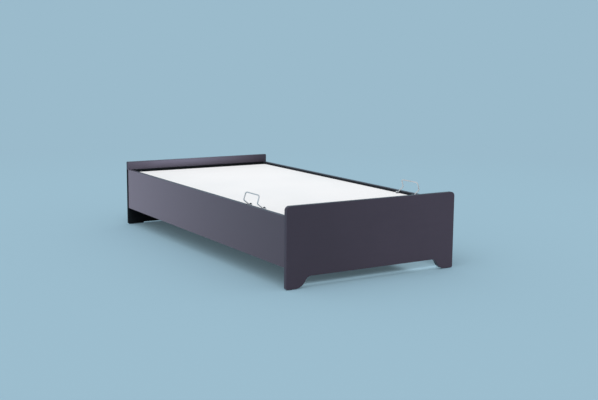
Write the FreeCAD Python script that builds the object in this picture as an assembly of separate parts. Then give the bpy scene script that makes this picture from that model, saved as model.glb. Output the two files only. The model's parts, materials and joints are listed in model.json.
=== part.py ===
# Low single storage bed. Two lacquered end panels and two side rails form a box with a floor.
# A closed white base lies inside the rails and lifts at its foot end on two gas struts.
# Origin: middle of the bed on the floor. X runs across the bed, Y towards the headboard, Z up.
import FreeCAD, Part
import math
import os

Vector = FreeCAD.Vector

# Overall sizes, in millimetres
BED_WIDTH = 980.0
BED_LENGTH = 1950.0
PANEL_HEIGHT = 390.0
PANEL_THICKNESS = 22.0
EDGE_ROUND = 2.0

# End panels: corners, bracket feet of the footboard and low feet of the headboard
FOOTBOARD_CORNER = 21.0
HEADBOARD_CORNER = 5.0
FOOT_RISE = 53.0
FOOT_FLAT = 50.0
FOOT_ROUND = 60.0
FOOT_FILLET = 34.0
HEAD_FOOT_RISE = 6.0
HEAD_FOOT_FLAT = 97.0
HEAD_FOOT_ROUND = 4.0
HEAD_FOOT_FILLET = 4.0
FOOT_CORNER = 8.0
GLIDE_HEIGHT = 2.0
GLIDE_DIAMETER = 16.0
GLIDE_CHAMFER = 1.0
GLIDE_SETBACK = 30.0

# Side rails
RAIL_TOP = 342.0
RAIL_DEPTH = 240.0
RAIL_THICKNESS = 22.0
RAIL_INSET = 2.0

# Dowels between rails and end panels
DOWEL_DIAMETER = 8.0
DOWEL_IN_RAIL = 20.0
DOWEL_IN_PANEL = 10.0
DOWEL_MARGIN = 50.0
GLUE_GAP = 0.1

# Largest length at which an edge still counts as flat or absent when edges are picked out
PICK_TOLERANCE = 0.1

# Box floor: cleats, lapped bearers, boards and centre legs
FLOOR_BOARDS = 3
CLEAT_SIZE = 18.0
FLOOR_THICKNESS = 6.0
FLOOR_JOINT_GAP = 1.0
BEARER_WIDTH = 60.0
LAP_GAP = 0.2
LEG_FLANGE_DIAMETER = 64.0
LEG_FLANGE_HEIGHT = 4.0
LEG_TOP_DIAMETER = 40.0
LEG_BOTTOM_DIAMETER = 32.0
LEG_PAD_DIAMETER = 50.0
LEG_PAD_HEIGHT = 8.0

# Lift-up base: board and steel tube frame
BOARD_DROP = 12.0
BOARD_THICKNESS = 16.0
BOARD_ROUND = 1.5
BOARD_SIDE_GAP = 8.0
BOARD_HEAD_GAP = 40.0
BOARD_FOOT_GAP = 10.0
TUBE_SIZE = 25.0
TUBE_WALL = 1.5
TUBE_INSET = 4.0
CROSS_TUBES = 3
PLUG_PLATE = 3.0
PLUG_CHAMFER = 1.0
PLUG_DEPTH = 15.0
PLUG_GAP = 0.1

# Hinge and gas struts
LIFT_RANGE_DEGREES = 35.0
PIVOT_FROM_BOARD_END = 60.0
PIVOT_DROP = 15.0
PIVOT_DIAMETER = 12.0
PIVOT_FLANGE_DIAMETER = 20.0
RIVET_HEAD_HEIGHT = 3.0
ARM_THICKNESS = 4.0
ARM_WIDTH = 26.0
ARM_WELD_LENGTH = 80.0
PLATE_THICKNESS = 4.0
PLATE_MARGIN = 24.0
PLATE_CORNER = 12.0
PLATE_SCREW_INSET = 12.0
PLATE_SCREW_FOOT_INSET = 6.0
STRUT_PIN_REACH = 282.0
STRUT_STUD_REACH = 53.0
STRUT_STUD_LIFT = 28.0
STRUT_PIN_DIAMETER = 8.0
STRUT_FLANGE_DIAMETER = 18.0
STRUT_FROM_ARM = 11.0
EYE_THICKNESS = 8.0
LOWER_EYE_DIAMETER = 20.0
UPPER_EYE_DIAMETER = 22.0
ROD_DIAMETER = 8.0
ROD_COLLAR_DIAMETER = 13.0
ROD_COLLAR_LENGTH = 18.0
ROD_SHOWN = 12.0
ROD_INSIDE = 170.0
PISTON_LENGTH = 10.0
CYLINDER_DIAMETER = 20.0
CYLINDER_WALL = 1.5
CYLINDER_CHAMFER = 1.5
GLAND_LENGTH = 12.0
END_CAP_LENGTH = 5.0
CYLINDER_NECK_DIAMETER = 14.0
CYLINDER_NECK_LENGTH = 18.0
CYLINDER_SHOULDER_LENGTH = 6.0
RUNNING_GAP = 0.05
SIDE_GAP = 0.3
OPEN_EYE_GAP = 2.7

# Shares of the lift range at which the strut's own line meets its pin exactly
STRUT_FIT_SHARES = (0.1464, 0.8536)

# Rest brackets and pads
REST_LEG = 42.0
REST_DROP = 36.0
REST_WIDTH = 50.0
REST_THICKNESS = 4.0
REST_BEND = 3.0
REST_END_SETBACK = 103.0
REST_MIDDLE_SHARE = 0.1667
PAD_SIZE = 30.0
PAD_CHAMFER = 1.0
PAD_GAP = 0.3
PAD_HEIGHT = 3.7

# Corner brackets
BRACKET_LEG = 50.0
BRACKET_HEIGHT = 90.0
BRACKET_LIFT = 38.0
BRACKET_THICKNESS = 4.0
BRACKET_BEND = 3.0

# Wire retainers
WIRE_DIAMETER = 6.0
RETAINER_LENGTH = 137.0
RETAINER_FROM_FOOT = 350.0
RETAINER_TOP_HEIGHT = 60.0
RETAINER_TOP_INSET = 16.0
RETAINER_KNEE_HEIGHT = 20.5
RETAINER_KNEE_INSET = 1.5
KNEE_RADIUS = 9.0
TOP_RADIUS = 14.0
EYE_DISC_DIAMETER = 18.0
EYE_DISC_HEIGHT = 4.0
EYE_DISC_INSET = 10.0
WIRE_START = 8.0
SPACER_HEIGHT = 6.0
SPACER_DIAMETER = 14.0
SPACER_SEAT_DEPTH = 1.0
SPACER_SEAT_GAP = 0.2

# Fasteners
BOLT_DIAMETER = 6.0
BOLT_HEAD_DIAMETER = 12.0
BOLT_HEAD_HEIGHT = 4.0
BOLT_LENGTH = 18.0
BOLT_EDGE = 22.0
PLATE_SCREW_DIAMETER = 4.5
PLATE_SCREW_HEAD_DIAMETER = 9.0
PLATE_SCREW_HEAD_HEIGHT = 2.5
PLATE_SCREW_LENGTH = 18.0
REST_SCREW_DROP = 24.0
REST_SCREW_EDGE = 12.0
CAP_DIAMETER = 12.0
CAP_HEIGHT = 5.0
CAP_SCREW_DIAMETER = 5.0
CAP_SCREW_INTO_TUBE = 8.0
BOARD_SCREW_DIAMETER = 4.5
BOARD_SCREW_HEAD_DIAMETER = 9.0
BOARD_SCREW_HEAD_HEIGHT = 2.5
BOARD_SCREW_BITE = 11.0
BOARD_SCREW_SHARES = (0.09, 0.37, 0.63, 0.91)
SCREW_GAP = 0.2

# One overrun for every cut
OVERRUN = 5.0

# Places worked out from the sizes above
SIDES = {"left": -1, "right": 1}
HALF_WIDTH = BED_WIDTH / 2
HALF_LENGTH = BED_LENGTH / 2
HEAD_INNER = HALF_LENGTH - PANEL_THICKNESS
FOOT_INNER = -HEAD_INNER
RAIL_OUTER = HALF_WIDTH - RAIL_INSET
RAIL_INNER = RAIL_OUTER - RAIL_THICKNESS
RAIL_BOTTOM = RAIL_TOP - RAIL_DEPTH
CLEAT_TOP = RAIL_BOTTOM + CLEAT_SIZE
CLEAT_INNER = RAIL_INNER - CLEAT_SIZE
FLOOR_TOP = CLEAT_TOP + FLOOR_THICKNESS
BEARER_PLACE = HEAD_INNER / FLOOR_BOARDS

BOARD_TOP = RAIL_TOP - BOARD_DROP
BOARD_BOTTOM = BOARD_TOP - BOARD_THICKNESS
BOARD_HALF_WIDTH = RAIL_INNER - BOARD_SIDE_GAP
BOARD_HEAD = HEAD_INNER - BOARD_HEAD_GAP
BOARD_FOOT = FOOT_INNER + BOARD_FOOT_GAP
TUBE_TOP = BOARD_BOTTOM
TUBE_BOTTOM = TUBE_TOP - TUBE_SIZE
TUBE_OUTER = BOARD_HALF_WIDTH - TUBE_INSET
TUBE_INNER = TUBE_OUTER - TUBE_SIZE
TUBE_HEAD = BOARD_HEAD - TUBE_INSET
TUBE_FOOT = BOARD_FOOT + TUBE_INSET

PIVOT = Vector(0, BOARD_HEAD - PIVOT_FROM_BOARD_END, TUBE_BOTTOM - PIVOT_DROP)
STUD = Vector(0, PIVOT.y - STRUT_STUD_REACH, FLOOR_TOP + STRUT_STUD_LIFT)
STRUT_STUD_DROP = PIVOT.z - STUD.z
PLATE_INNER = RAIL_INNER - PLATE_THICKNESS
ARM_OUTER = TUBE_OUTER + ARM_THICKNESS
STRUT_PLANE = TUBE_OUTER - STRUT_FROM_ARM


def box(low, high):
    """Return the block between two opposite corners."""
    size = high - low
    return Part.makeBox(size.x, size.y, size.z, low)


def joined(shapes):
    """Return one solid made of shapes that touch or overlap."""
    return shapes[0].multiFuse(shapes[1:]).removeSplitter()


def sided(shape, side):
    """Return a shape built for the right side, mirrored across the bed when the side is left."""
    if SIDES[side] > 0:
        return shape
    return shape.mirror(Vector(0, 0, 0), Vector(1, 0, 0))


def both_sides(shapes):
    """Return right-hand shapes together with their mirror images."""
    return [sided(shape, side) for side in SIDES for shape in shapes]


def at_both_ends(shape):
    """Return a shape built for the head end and its mirror image at the foot end."""
    return [shape, shape.mirror(Vector(0, 0, 0), Vector(0, 1, 0))]


def along(shape, axis):
    """Return the edges of a shape that run along one axis, given as its letter."""
    others = [letter for letter in "XYZ" if letter != axis]
    return [edge for edge in shape.Edges
            if all(getattr(edge.BoundBox, letter + "Length") < PICK_TOLERANCE for letter in others)]


def aimed(shape, place, direction):
    """Return a shape drawn along +Z, turned to a direction and moved to a place."""
    turned = shape.copy()
    turned.Placement = FreeCAD.Placement(place, FreeCAD.Rotation(Vector(0, 0, 1), direction))
    return turned


def stepped_pin(place, direction, steps):
    """Return a pin made of (diameter, length) steps, one after the other along a direction."""
    parts = []
    for diameter, length in steps:
        parts.append(Part.makeCylinder(diameter / 2, length, place, direction))
        place = place + direction * length
    return joined(parts)


def bore(place, direction, diameter, length):
    """Return the cutter of a round hole."""
    return Part.makeCylinder(diameter / 2, length, place, direction)


def dome_screw(head_diameter, head_height, shank_diameter, length):
    """Return a screw along +Z, with its domed head below zero and its shank above."""
    reach = head_diameter / 2
    shank = shank_diameter / 2
    sphere = (reach ** 2 + head_height ** 2) / (2 * head_height)
    crown = math.asin(reach / sphere) / 2
    middle = Vector(sphere * math.sin(crown), 0, sphere - head_height - sphere * math.cos(crown))
    bottom = Vector(0, 0, -head_height)
    edges = [Part.Arc(Vector(reach, 0, 0), middle, bottom).toShape()]
    edges += Part.makePolygon([bottom, Vector(0, 0, length), Vector(shank, 0, length),
                               Vector(shank, 0, 0), Vector(reach, 0, 0)]).Edges
    return Part.Face(Part.Wire(edges)).revolve(Vector(0, 0, 0), Vector(0, 0, 1), 360)


def sunk_screw(head_diameter, head_height, shank_diameter, length):
    """Return a countersunk screw along +Z, with its flat head face at zero."""
    head = Part.makeCone(head_diameter / 2, shank_diameter / 2, head_height)
    return joined([head, Part.makeCylinder(shank_diameter / 2, length)])


def arc_edge(centre, radius, start, end):
    """Return an arc in the XZ plane about a centre, from one angle in degrees to another."""
    def point(angle):
        turn = math.radians(angle)
        return centre + Vector(math.cos(turn), 0, math.sin(turn)) * radius
    return Part.Arc(point(start), point((start + end) / 2), point(end)).toShape()


def panel_outline(top_corner, rise, flat, foot_round, foot_fillet):
    """Return the right-hand half of an end panel's outline, whose foot curves up to its under edge."""
    under_edge = GLIDE_HEIGHT + rise
    foot_centre = Vector(HALF_WIDTH - flat, 0, GLIDE_HEIGHT + foot_round)
    drop = foot_centre.z - (under_edge - foot_fillet)
    reach = math.sqrt((foot_round + foot_fillet) ** 2 - drop ** 2)
    fillet_centre = foot_centre - Vector(reach, 0, drop)
    turn = math.degrees(math.atan2(drop, reach))
    corner_centre = Vector(HALF_WIDTH - FOOT_CORNER, 0, GLIDE_HEIGHT + FOOT_CORNER)
    top_centre = Vector(HALF_WIDTH - top_corner, 0, PANEL_HEIGHT - top_corner)
    arcs = [
        arc_edge(fillet_centre, foot_fillet, 90, turn),
        arc_edge(foot_centre, foot_round, 180 + turn, 270),
        arc_edge(corner_centre, FOOT_CORNER, 270, 360),
        arc_edge(top_centre, top_corner, 0, 90),
    ]
    ends = [arc.Vertexes[0].Point for arc in arcs] + [Vector(0, 0, PANEL_HEIGHT)]
    starts = [Vector(0, 0, under_edge)] + [arc.Vertexes[-1].Point for arc in arcs]
    lines = [Part.LineSegment(start, end).toShape() for start, end in zip(starts, ends)
             if start.distanceToPoint(end) > PICK_TOLERANCE]
    return arcs + lines


def dowel_places():
    """Return the places where dowels cross from the right-hand rail into the headboard."""
    middle = (RAIL_OUTER + RAIL_INNER) / 2
    heights = (RAIL_BOTTOM + DOWEL_MARGIN, RAIL_TOP - DOWEL_MARGIN)
    return [Vector(middle, HEAD_INNER, height) for height in heights]


def dowel_bores():
    """Return the cutters of every dowel hole."""
    cutters = [bore(place - Vector(0, DOWEL_IN_RAIL, 0), Vector(0, 1, 0), DOWEL_DIAMETER + 2 * GLUE_GAP,
                    DOWEL_IN_RAIL + DOWEL_IN_PANEL) for place in dowel_places()]
    return [cutter for shape in both_sides(cutters) for cutter in at_both_ends(shape)]


def rail_dowels():
    """Return the dowels between the rails and the end panels."""
    length = DOWEL_IN_RAIL + DOWEL_IN_PANEL
    starts = [place - Vector(0, DOWEL_IN_RAIL, 0) for place in dowel_places()]
    pins = [Part.makeCylinder(DOWEL_DIAMETER / 2, length, start, Vector(0, 1, 0)) for start in starts]
    return [pin for shape in both_sides(pins) for pin in at_both_ends(shape)]


def end_panel(inner_face, top_corner, foot):
    """Return an upright end panel with two feet of the given sizes; it lies outside its inner face."""
    half = panel_outline(top_corner, *foot)
    mirrored = [edge.mirror(Vector(0, 0, 0), Vector(1, 0, 0)) for edge in half]
    face = Part.Face(Part.Wire(Part.__sortEdges__(half + mirrored)))
    outward = math.copysign(PANEL_THICKNESS, inner_face)
    panel = face.extrude(Vector(0, outward, 0))
    panel.translate(Vector(0, inner_face, 0))
    rims = [edge for edge in panel.Edges if edge.BoundBox.YLength < PICK_TOLERANCE]
    panel = panel.makeFillet(EDGE_ROUND, rims)
    return panel.cut(dowel_bores() + bracket_bolt_bores())


def side_rail(side):
    """Return a side rail between the end panels, with rounded long edges."""
    rail = box(Vector(RAIL_INNER, FOOT_INNER, RAIL_BOTTOM), Vector(RAIL_OUTER, HEAD_INNER, RAIL_TOP))
    rail = rail.makeFillet(EDGE_ROUND, along(rail, "Y"))
    rail = sided(rail, side)
    return rail.cut(dowel_bores() + bracket_bolt_bores() + plate_screw_bores() + rest_screw_bores())


def angle_section(first_leg, second_leg, thickness, bend):
    """Return an L-shaped face in the XY plane, with its outer corner at the origin."""
    points = [Vector(0, 0, 0), Vector(first_leg, 0, 0), Vector(first_leg, thickness, 0),
              Vector(thickness, thickness, 0), Vector(thickness, second_leg, 0), Vector(0, second_leg, 0),
              Vector(0, 0, 0)]
    section = Part.Face(Part.makePolygon(points)).extrude(Vector(0, 0, thickness))
    corner = Vector(thickness, thickness, thickness / 2)
    inner = [edge for edge in along(section, "Z")
             if edge.BoundBox.Center.distanceToPoint(corner) < PICK_TOLERANCE]
    section = section.makeFillet(bend, inner)
    return [face for face in section.Faces if face.BoundBox.ZMax < PICK_TOLERANCE][0]


def corner_bracket(end, side):
    """Return the steel angle that bolts a rail to an end panel."""
    section = angle_section(BRACKET_LEG, BRACKET_LEG, BRACKET_THICKNESS, BRACKET_BEND)
    angle = section.extrude(Vector(0, 0, BRACKET_HEIGHT))
    angle.rotate(Vector(0, 0, 0), Vector(0, 0, 1), 180)
    angle.translate(Vector(RAIL_INNER, HEAD_INNER, RAIL_BOTTOM + BRACKET_LIFT))
    angle = at_both_ends(sided(angle, side))[0 if end == "head" else 1]
    return angle.cut(bracket_bolt_bores())


def bracket_bolt_places():
    """Return the head-end, right-hand bolts as pairs of a place on the bracket and a direction."""
    low = RAIL_BOTTOM + BRACKET_LIFT + BOLT_EDGE
    high = RAIL_BOTTOM + BRACKET_LIFT + BRACKET_HEIGHT - BOLT_EDGE
    leg_place = BRACKET_LEG - BOLT_EDGE
    places = []
    for height in (low, high):
        in_rail = Vector(RAIL_INNER - BRACKET_THICKNESS, HEAD_INNER - leg_place, height)
        in_panel = Vector(RAIL_INNER - leg_place, HEAD_INNER - BRACKET_THICKNESS, height)
        places += [(in_rail, Vector(1, 0, 0)), (in_panel, Vector(0, 1, 0))]
    return places


def bracket_bolt_bores():
    """Return the cutters of every corner bracket bolt."""
    cutters = [bore(place, direction, BOLT_DIAMETER + SCREW_GAP, BOLT_LENGTH + SCREW_GAP)
               for place, direction in bracket_bolt_places()]
    return [cutter for shape in both_sides(cutters) for cutter in at_both_ends(shape)]


def bracket_bolts():
    """Return the bolts of the four corner brackets."""
    bolt = dome_screw(BOLT_HEAD_DIAMETER, BOLT_HEAD_HEIGHT, BOLT_DIAMETER, BOLT_LENGTH)
    bolts = [aimed(bolt, place, direction) for place, direction in bracket_bolt_places()]
    return [one for shape in both_sides(bolts) for one in at_both_ends(shape)]


def foot_glides():
    """Return the four round glides under the bracket feet."""
    middle = (HALF_LENGTH + HEAD_INNER) / 2
    place = Vector(HALF_WIDTH - GLIDE_SETBACK, middle, 0)
    glide = Part.makeCylinder(GLIDE_DIAMETER / 2, GLIDE_HEIGHT, place)
    rim = [edge for edge in glide.Edges if edge.BoundBox.ZMax < PICK_TOLERANCE]
    glide = glide.makeChamfer(GLIDE_CHAMFER, rim)
    return [one for shape in both_sides([glide]) for one in at_both_ends(shape)]


def bearer_laps():
    """Return the cutters that lower the side cleats where the bearers cross them."""
    half = BEARER_WIDTH / 2 + LAP_GAP
    cutter = box(Vector(CLEAT_INNER - OVERRUN, BEARER_PLACE - half, RAIL_BOTTOM + CLEAT_SIZE / 2),
                 Vector(RAIL_INNER, BEARER_PLACE + half, CLEAT_TOP + OVERRUN))
    return [one for shape in both_sides([cutter]) for one in at_both_ends(shape)]


def floor_cleat_side(side):
    """Return the cleat along a rail, notched for the bearers."""
    cleat = box(Vector(CLEAT_INNER, FOOT_INNER, RAIL_BOTTOM), Vector(RAIL_INNER, HEAD_INNER, CLEAT_TOP))
    return sided(cleat, side).cut(bearer_laps())


def floor_cleat_end(end):
    """Return the cleat on an end panel, between the side cleats."""
    cleat = box(Vector(-CLEAT_INNER, HEAD_INNER - CLEAT_SIZE, RAIL_BOTTOM),
                Vector(CLEAT_INNER, HEAD_INNER, CLEAT_TOP))
    return at_both_ends(cleat)[0 if end == "head" else 1]


def floor_bearer(end):
    """Return the cross bearer near one end, with a tongue lapped into each side cleat."""
    half = BEARER_WIDTH / 2
    bearer = box(Vector(-RAIL_INNER, BEARER_PLACE - half, RAIL_BOTTOM),
                 Vector(RAIL_INNER, BEARER_PLACE + half, CLEAT_TOP))
    lap = box(Vector(CLEAT_INNER, BEARER_PLACE - half - OVERRUN, RAIL_BOTTOM - OVERRUN),
              Vector(RAIL_INNER + OVERRUN, BEARER_PLACE + half + OVERRUN, RAIL_BOTTOM + CLEAT_SIZE / 2))
    return at_both_ends(bearer.cut(both_sides([lap])))[0 if end == "head" else 1]


def floor_board(low, high):
    """Return one board of the box floor between two places along the bed."""
    return box(Vector(-RAIL_INNER, low, CLEAT_TOP), Vector(RAIL_INNER, high, FLOOR_TOP))


def centre_leg(end):
    """Return the turned plastic leg under the middle of a bearer."""
    top = LEG_FLANGE_DIAMETER / 2
    upper = LEG_TOP_DIAMETER / 2
    lower = LEG_BOTTOM_DIAMETER / 2
    pad = LEG_PAD_DIAMETER / 2
    flange_under = RAIL_BOTTOM - LEG_FLANGE_HEIGHT
    points = [Vector(0, 0, 0), Vector(pad, 0, 0), Vector(pad, 0, LEG_PAD_HEIGHT / 2),
              Vector(lower, 0, LEG_PAD_HEIGHT), Vector(upper, 0, flange_under),
              Vector(top, 0, flange_under), Vector(top, 0, RAIL_BOTTOM),
              Vector(0, 0, RAIL_BOTTOM), Vector(0, 0, 0)]
    leg = Part.Face(Part.makePolygon(points)).revolve(Vector(0, 0, 0), Vector(0, 0, 1), 360)
    leg.translate(Vector(0, BEARER_PLACE, 0))
    return at_both_ends(leg)[0 if end == "head" else 1]


def rounded_plate(points, thickness, corner):
    """Return a plate in the YZ plane with rounded corners, extruded along +X from its points."""
    plate = Part.Face(Part.makePolygon(points + points[:1])).extrude(Vector(thickness, 0, 0))
    return plate.makeFillet(corner, along(plate, "X"))


def hinge_plate_corners():
    """Return the corners of the hinge plate, around the pivot and the strut's lower stud."""
    head = PIVOT.y + PLATE_MARGIN
    foot = STUD.y - PLATE_MARGIN
    low = STUD.z - PLATE_MARGIN
    high = PIVOT.z + PLATE_MARGIN
    return [Vector(PLATE_INNER, head, low), Vector(PLATE_INNER, head, high),
            Vector(PLATE_INNER, PIVOT.y - PLATE_MARGIN, high),
            Vector(PLATE_INNER, foot, STUD.z + PLATE_MARGIN), Vector(PLATE_INNER, foot, low)]


def plate_screw_places():
    """Return the places of the right-hand hinge plate's screws."""
    corners = hinge_plate_corners()
    head_low, foot_low, upper = corners[0], corners[4], corners[2]
    middle = (PIVOT + STUD) / 2
    return [Vector(PLATE_INNER, head_low.y - PLATE_SCREW_INSET, head_low.z + PLATE_SCREW_INSET),
            Vector(PLATE_INNER, foot_low.y + PLATE_SCREW_FOOT_INSET, foot_low.z + PLATE_MARGIN),
            Vector(PLATE_INNER, upper.y, PIVOT.z - PLATE_SCREW_INSET),
            Vector(PLATE_INNER, head_low.y - PLATE_SCREW_INSET, middle.z)]


def plate_screw():
    """Return the countersunk screw of the hinge plates and rest brackets."""
    return sunk_screw(PLATE_SCREW_HEAD_DIAMETER, PLATE_SCREW_HEAD_HEIGHT,
                      PLATE_SCREW_DIAMETER, PLATE_SCREW_LENGTH)


def plate_screw_cutter():
    """Return the hole for a countersunk screw, with its clearance."""
    return sunk_screw(PLATE_SCREW_HEAD_DIAMETER + SCREW_GAP, PLATE_SCREW_HEAD_HEIGHT,
                      PLATE_SCREW_DIAMETER + SCREW_GAP, PLATE_SCREW_LENGTH + SCREW_GAP)


def plate_screw_bores():
    """Return the cutters of the hinge plates' screws."""
    cutter = plate_screw_cutter()
    return both_sides([aimed(cutter, place, Vector(1, 0, 0)) for place in plate_screw_places()])


def plate_screws():
    """Return the screws of both hinge plates."""
    screw = plate_screw()
    return both_sides([aimed(screw, place, Vector(1, 0, 0)) for place in plate_screw_places()])


def hinge_plate(side):
    """Return the steel plate on a rail that carries the pivot and the strut's lower stud."""
    plate = rounded_plate(hinge_plate_corners(), PLATE_THICKNESS, PLATE_CORNER)
    holes = [bore(Vector(PLATE_INNER, place.y, place.z), Vector(1, 0, 0), diameter, PLATE_THICKNESS)
             for place, diameter in ((PIVOT, PIVOT_DIAMETER), (STUD, STRUT_PIN_DIAMETER))]
    return sided(plate.cut(holes), side).cut(plate_screw_bores())


def pivot_rivet(side):
    """Return the shoulder rivet on which a hinge arm turns."""
    shoulder = PLATE_INNER - ARM_OUTER - SIDE_GAP
    bearing = ARM_THICKNESS + 2 * SIDE_GAP
    steps = [(PIVOT_DIAMETER, PLATE_THICKNESS), (PIVOT_FLANGE_DIAMETER, shoulder),
             (PIVOT_DIAMETER, bearing), (PIVOT_FLANGE_DIAMETER, RIVET_HEAD_HEIGHT)]
    return sided(stepped_pin(Vector(RAIL_INNER, PIVOT.y, PIVOT.z), Vector(-1, 0, 0), steps), side)


def strut_stud(side):
    """Return the shoulder rivet on the hinge plate that carries the strut's rod."""
    shoulder = PLATE_INNER - STRUT_PLANE - EYE_THICKNESS / 2 - SIDE_GAP
    bearing = EYE_THICKNESS + 2 * SIDE_GAP
    steps = [(STRUT_PIN_DIAMETER, PLATE_THICKNESS), (STRUT_FLANGE_DIAMETER, shoulder),
             (STRUT_PIN_DIAMETER, bearing), (STRUT_FLANGE_DIAMETER, RIVET_HEAD_HEIGHT)]
    return sided(stepped_pin(Vector(RAIL_INNER, STUD.y, STUD.z), Vector(-1, 0, 0), steps), side)


def strut_pin(side):
    """Return the shoulder rivet under the base that carries the strut's cylinder."""
    shoulder = TUBE_OUTER - STRUT_PLANE - EYE_THICKNESS / 2 - SIDE_GAP
    bearing = EYE_THICKNESS + 2 * SIDE_GAP
    steps = [(STRUT_PIN_DIAMETER, ARM_THICKNESS), (STRUT_FLANGE_DIAMETER, shoulder),
             (STRUT_PIN_DIAMETER, bearing), (STRUT_FLANGE_DIAMETER, RIVET_HEAD_HEIGHT)]
    place = Vector(ARM_OUTER, PIVOT.y - STRUT_PIN_REACH, PIVOT.z)
    return sided(stepped_pin(place, Vector(-1, 0, 0), steps), side)


def hanging_plate(middle, hole_diameter):
    """Return a plate welded to the side tube's outer face, with a round lower end about a hole."""
    half = ARM_WELD_LENGTH / 2
    radius = ARM_WIDTH / 2
    shoulder = TUBE_BOTTOM + TUBE_SIZE / 2
    x = TUBE_OUTER
    low = PIVOT.z
    head_side = [Vector(x, middle + radius, low), Vector(x, middle + radius, TUBE_BOTTOM),
                 Vector(x, middle + half, shoulder), Vector(x, middle + half, TUBE_TOP)]
    foot_side = [Vector(x, middle - half, TUBE_TOP), Vector(x, middle - half, shoulder),
                 Vector(x, middle - radius, TUBE_BOTTOM), Vector(x, middle - radius, low)]
    upper = head_side + foot_side
    round_end = Part.Arc(upper[-1], Vector(x, middle, low - radius), upper[0]).toShape()
    face = Part.Face(Part.Wire(Part.makePolygon(upper).Edges + [round_end]))
    plate = face.extrude(Vector(ARM_THICKNESS, 0, 0))
    return plate.cut(bore(Vector(x, middle, low), Vector(1, 0, 0), hole_diameter, ARM_THICKNESS))


def hinge_arm(side):
    """Return the arm that hangs the base on its pivot."""
    return sided(hanging_plate(PIVOT.y, PIVOT_DIAMETER + 2 * RUNNING_GAP), side)


def strut_bracket(side):
    """Return the bracket that carries the strut's pin under the base."""
    return sided(hanging_plate(PIVOT.y - STRUT_PIN_REACH, STRUT_PIN_DIAMETER), side)


def strut_line(lift):
    """Return the distance and slope from the stud to the strut's pin at a lift angle in radians."""
    across = STRUT_PIN_REACH * math.cos(lift) - STRUT_STUD_REACH
    rise = STRUT_PIN_REACH * math.sin(lift) + STRUT_STUD_DROP
    return math.hypot(across, rise), math.atan2(rise, across)


def strut_at_rest():
    """Return the strut's length and slope at rest, from the two lifts where its eye is centred."""
    first, last = (share * math.radians(LIFT_RANGE_DEGREES) for share in STRUT_FIT_SHARES)
    (short, flat), (long, steep) = strut_line(first), strut_line(last)
    length = short - (long - short) / (last - first) * first
    slope = flat - (steep - flat) / (last - first) * first
    return length, slope


def strut_placed(shape, side):
    """Return a strut piece, drawn along +Z from its stud, turned and moved to its place at rest."""
    slope = strut_at_rest()[1]
    direction = Vector(0, -math.cos(slope), math.sin(slope))
    return sided(aimed(shape, Vector(STRUT_PLANE, STUD.y, STUD.z), direction), side)


def strut_eye(height, diameter, hole_diameter):
    """Return an eye across the strut and the cutter of its hole, centred at a height along it."""
    place = Vector(-EYE_THICKNESS / 2, 0, height)
    return (Part.makeCylinder(diameter / 2, EYE_THICKNESS, place, Vector(1, 0, 0)),
            bore(place, Vector(1, 0, 0), hole_diameter, EYE_THICKNESS))


def strut_rod(side):
    """Return the piston rod, with its eye, collar and piston."""
    eye, hole = strut_eye(0, LOWER_EYE_DIAMETER, STRUT_PIN_DIAMETER + 2 * RUNNING_GAP)
    top = ROD_COLLAR_LENGTH + ROD_SHOWN + ROD_INSIDE
    piston_diameter = CYLINDER_DIAMETER - 2 * CYLINDER_WALL - 2 * RUNNING_GAP
    collar = Part.makeCylinder(ROD_COLLAR_DIAMETER / 2, ROD_COLLAR_LENGTH)
    rod = Part.makeCylinder(ROD_DIAMETER / 2, top)
    piston = Part.makeCylinder(piston_diameter / 2, PISTON_LENGTH, Vector(0, 0, top - PISTON_LENGTH))
    flats = [box(Vector(EYE_THICKNESS / 2, -LOWER_EYE_DIAMETER, -LOWER_EYE_DIAMETER),
                 Vector(LOWER_EYE_DIAMETER, LOWER_EYE_DIAMETER, LOWER_EYE_DIAMETER / 2))]
    flats.append(flats[0].mirror(Vector(0, 0, 0), Vector(1, 0, 0)))
    return strut_placed(joined([eye, collar.cut(flats), rod.cut(flats), piston]).cut(hole), side)


def strut_cylinder(side):
    """Return the strut's pressure cylinder, with its gland, closed end, neck and upper eye."""
    length = strut_at_rest()[0]
    eye, hole = strut_eye(length, UPPER_EYE_DIAMETER, STRUT_PIN_DIAMETER + 2 * OPEN_EYE_GAP)
    mouth = ROD_COLLAR_LENGTH + ROD_SHOWN
    end = length - CYLINDER_NECK_LENGTH
    inside = CYLINDER_DIAMETER - 2 * CYLINDER_WALL
    body = Part.makeCylinder(CYLINDER_DIAMETER / 2, end - mouth, Vector(0, 0, mouth))
    body = body.makeChamfer(CYLINDER_CHAMFER,
                            [edge for edge in body.Edges if edge.BoundBox.ZLength < PICK_TOLERANCE])
    neck = Part.makeCylinder(CYLINDER_NECK_DIAMETER / 2, length - end, Vector(0, 0, end))
    flats = [box(Vector(EYE_THICKNESS / 2, -UPPER_EYE_DIAMETER, end + CYLINDER_SHOULDER_LENGTH),
                 Vector(UPPER_EYE_DIAMETER, UPPER_EYE_DIAMETER, length + UPPER_EYE_DIAMETER))]
    flats.append(flats[0].mirror(Vector(0, 0, 0), Vector(1, 0, 0)))
    chamber = Part.makeCylinder(inside / 2, end - mouth - GLAND_LENGTH - END_CAP_LENGTH,
                                Vector(0, 0, mouth + GLAND_LENGTH))
    gland = Part.makeCylinder(ROD_DIAMETER / 2 + RUNNING_GAP, GLAND_LENGTH, Vector(0, 0, mouth))
    return strut_placed(joined([body, neck.cut(flats), eye]).cut([hole, chamber, gland]), side)


def rest_places():
    """Return the middles, along the bed, of the rest brackets by their place."""
    return {"foot": FOOT_INNER + REST_END_SETBACK, "middle": FOOT_INNER * REST_MIDDLE_SHARE}


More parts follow.
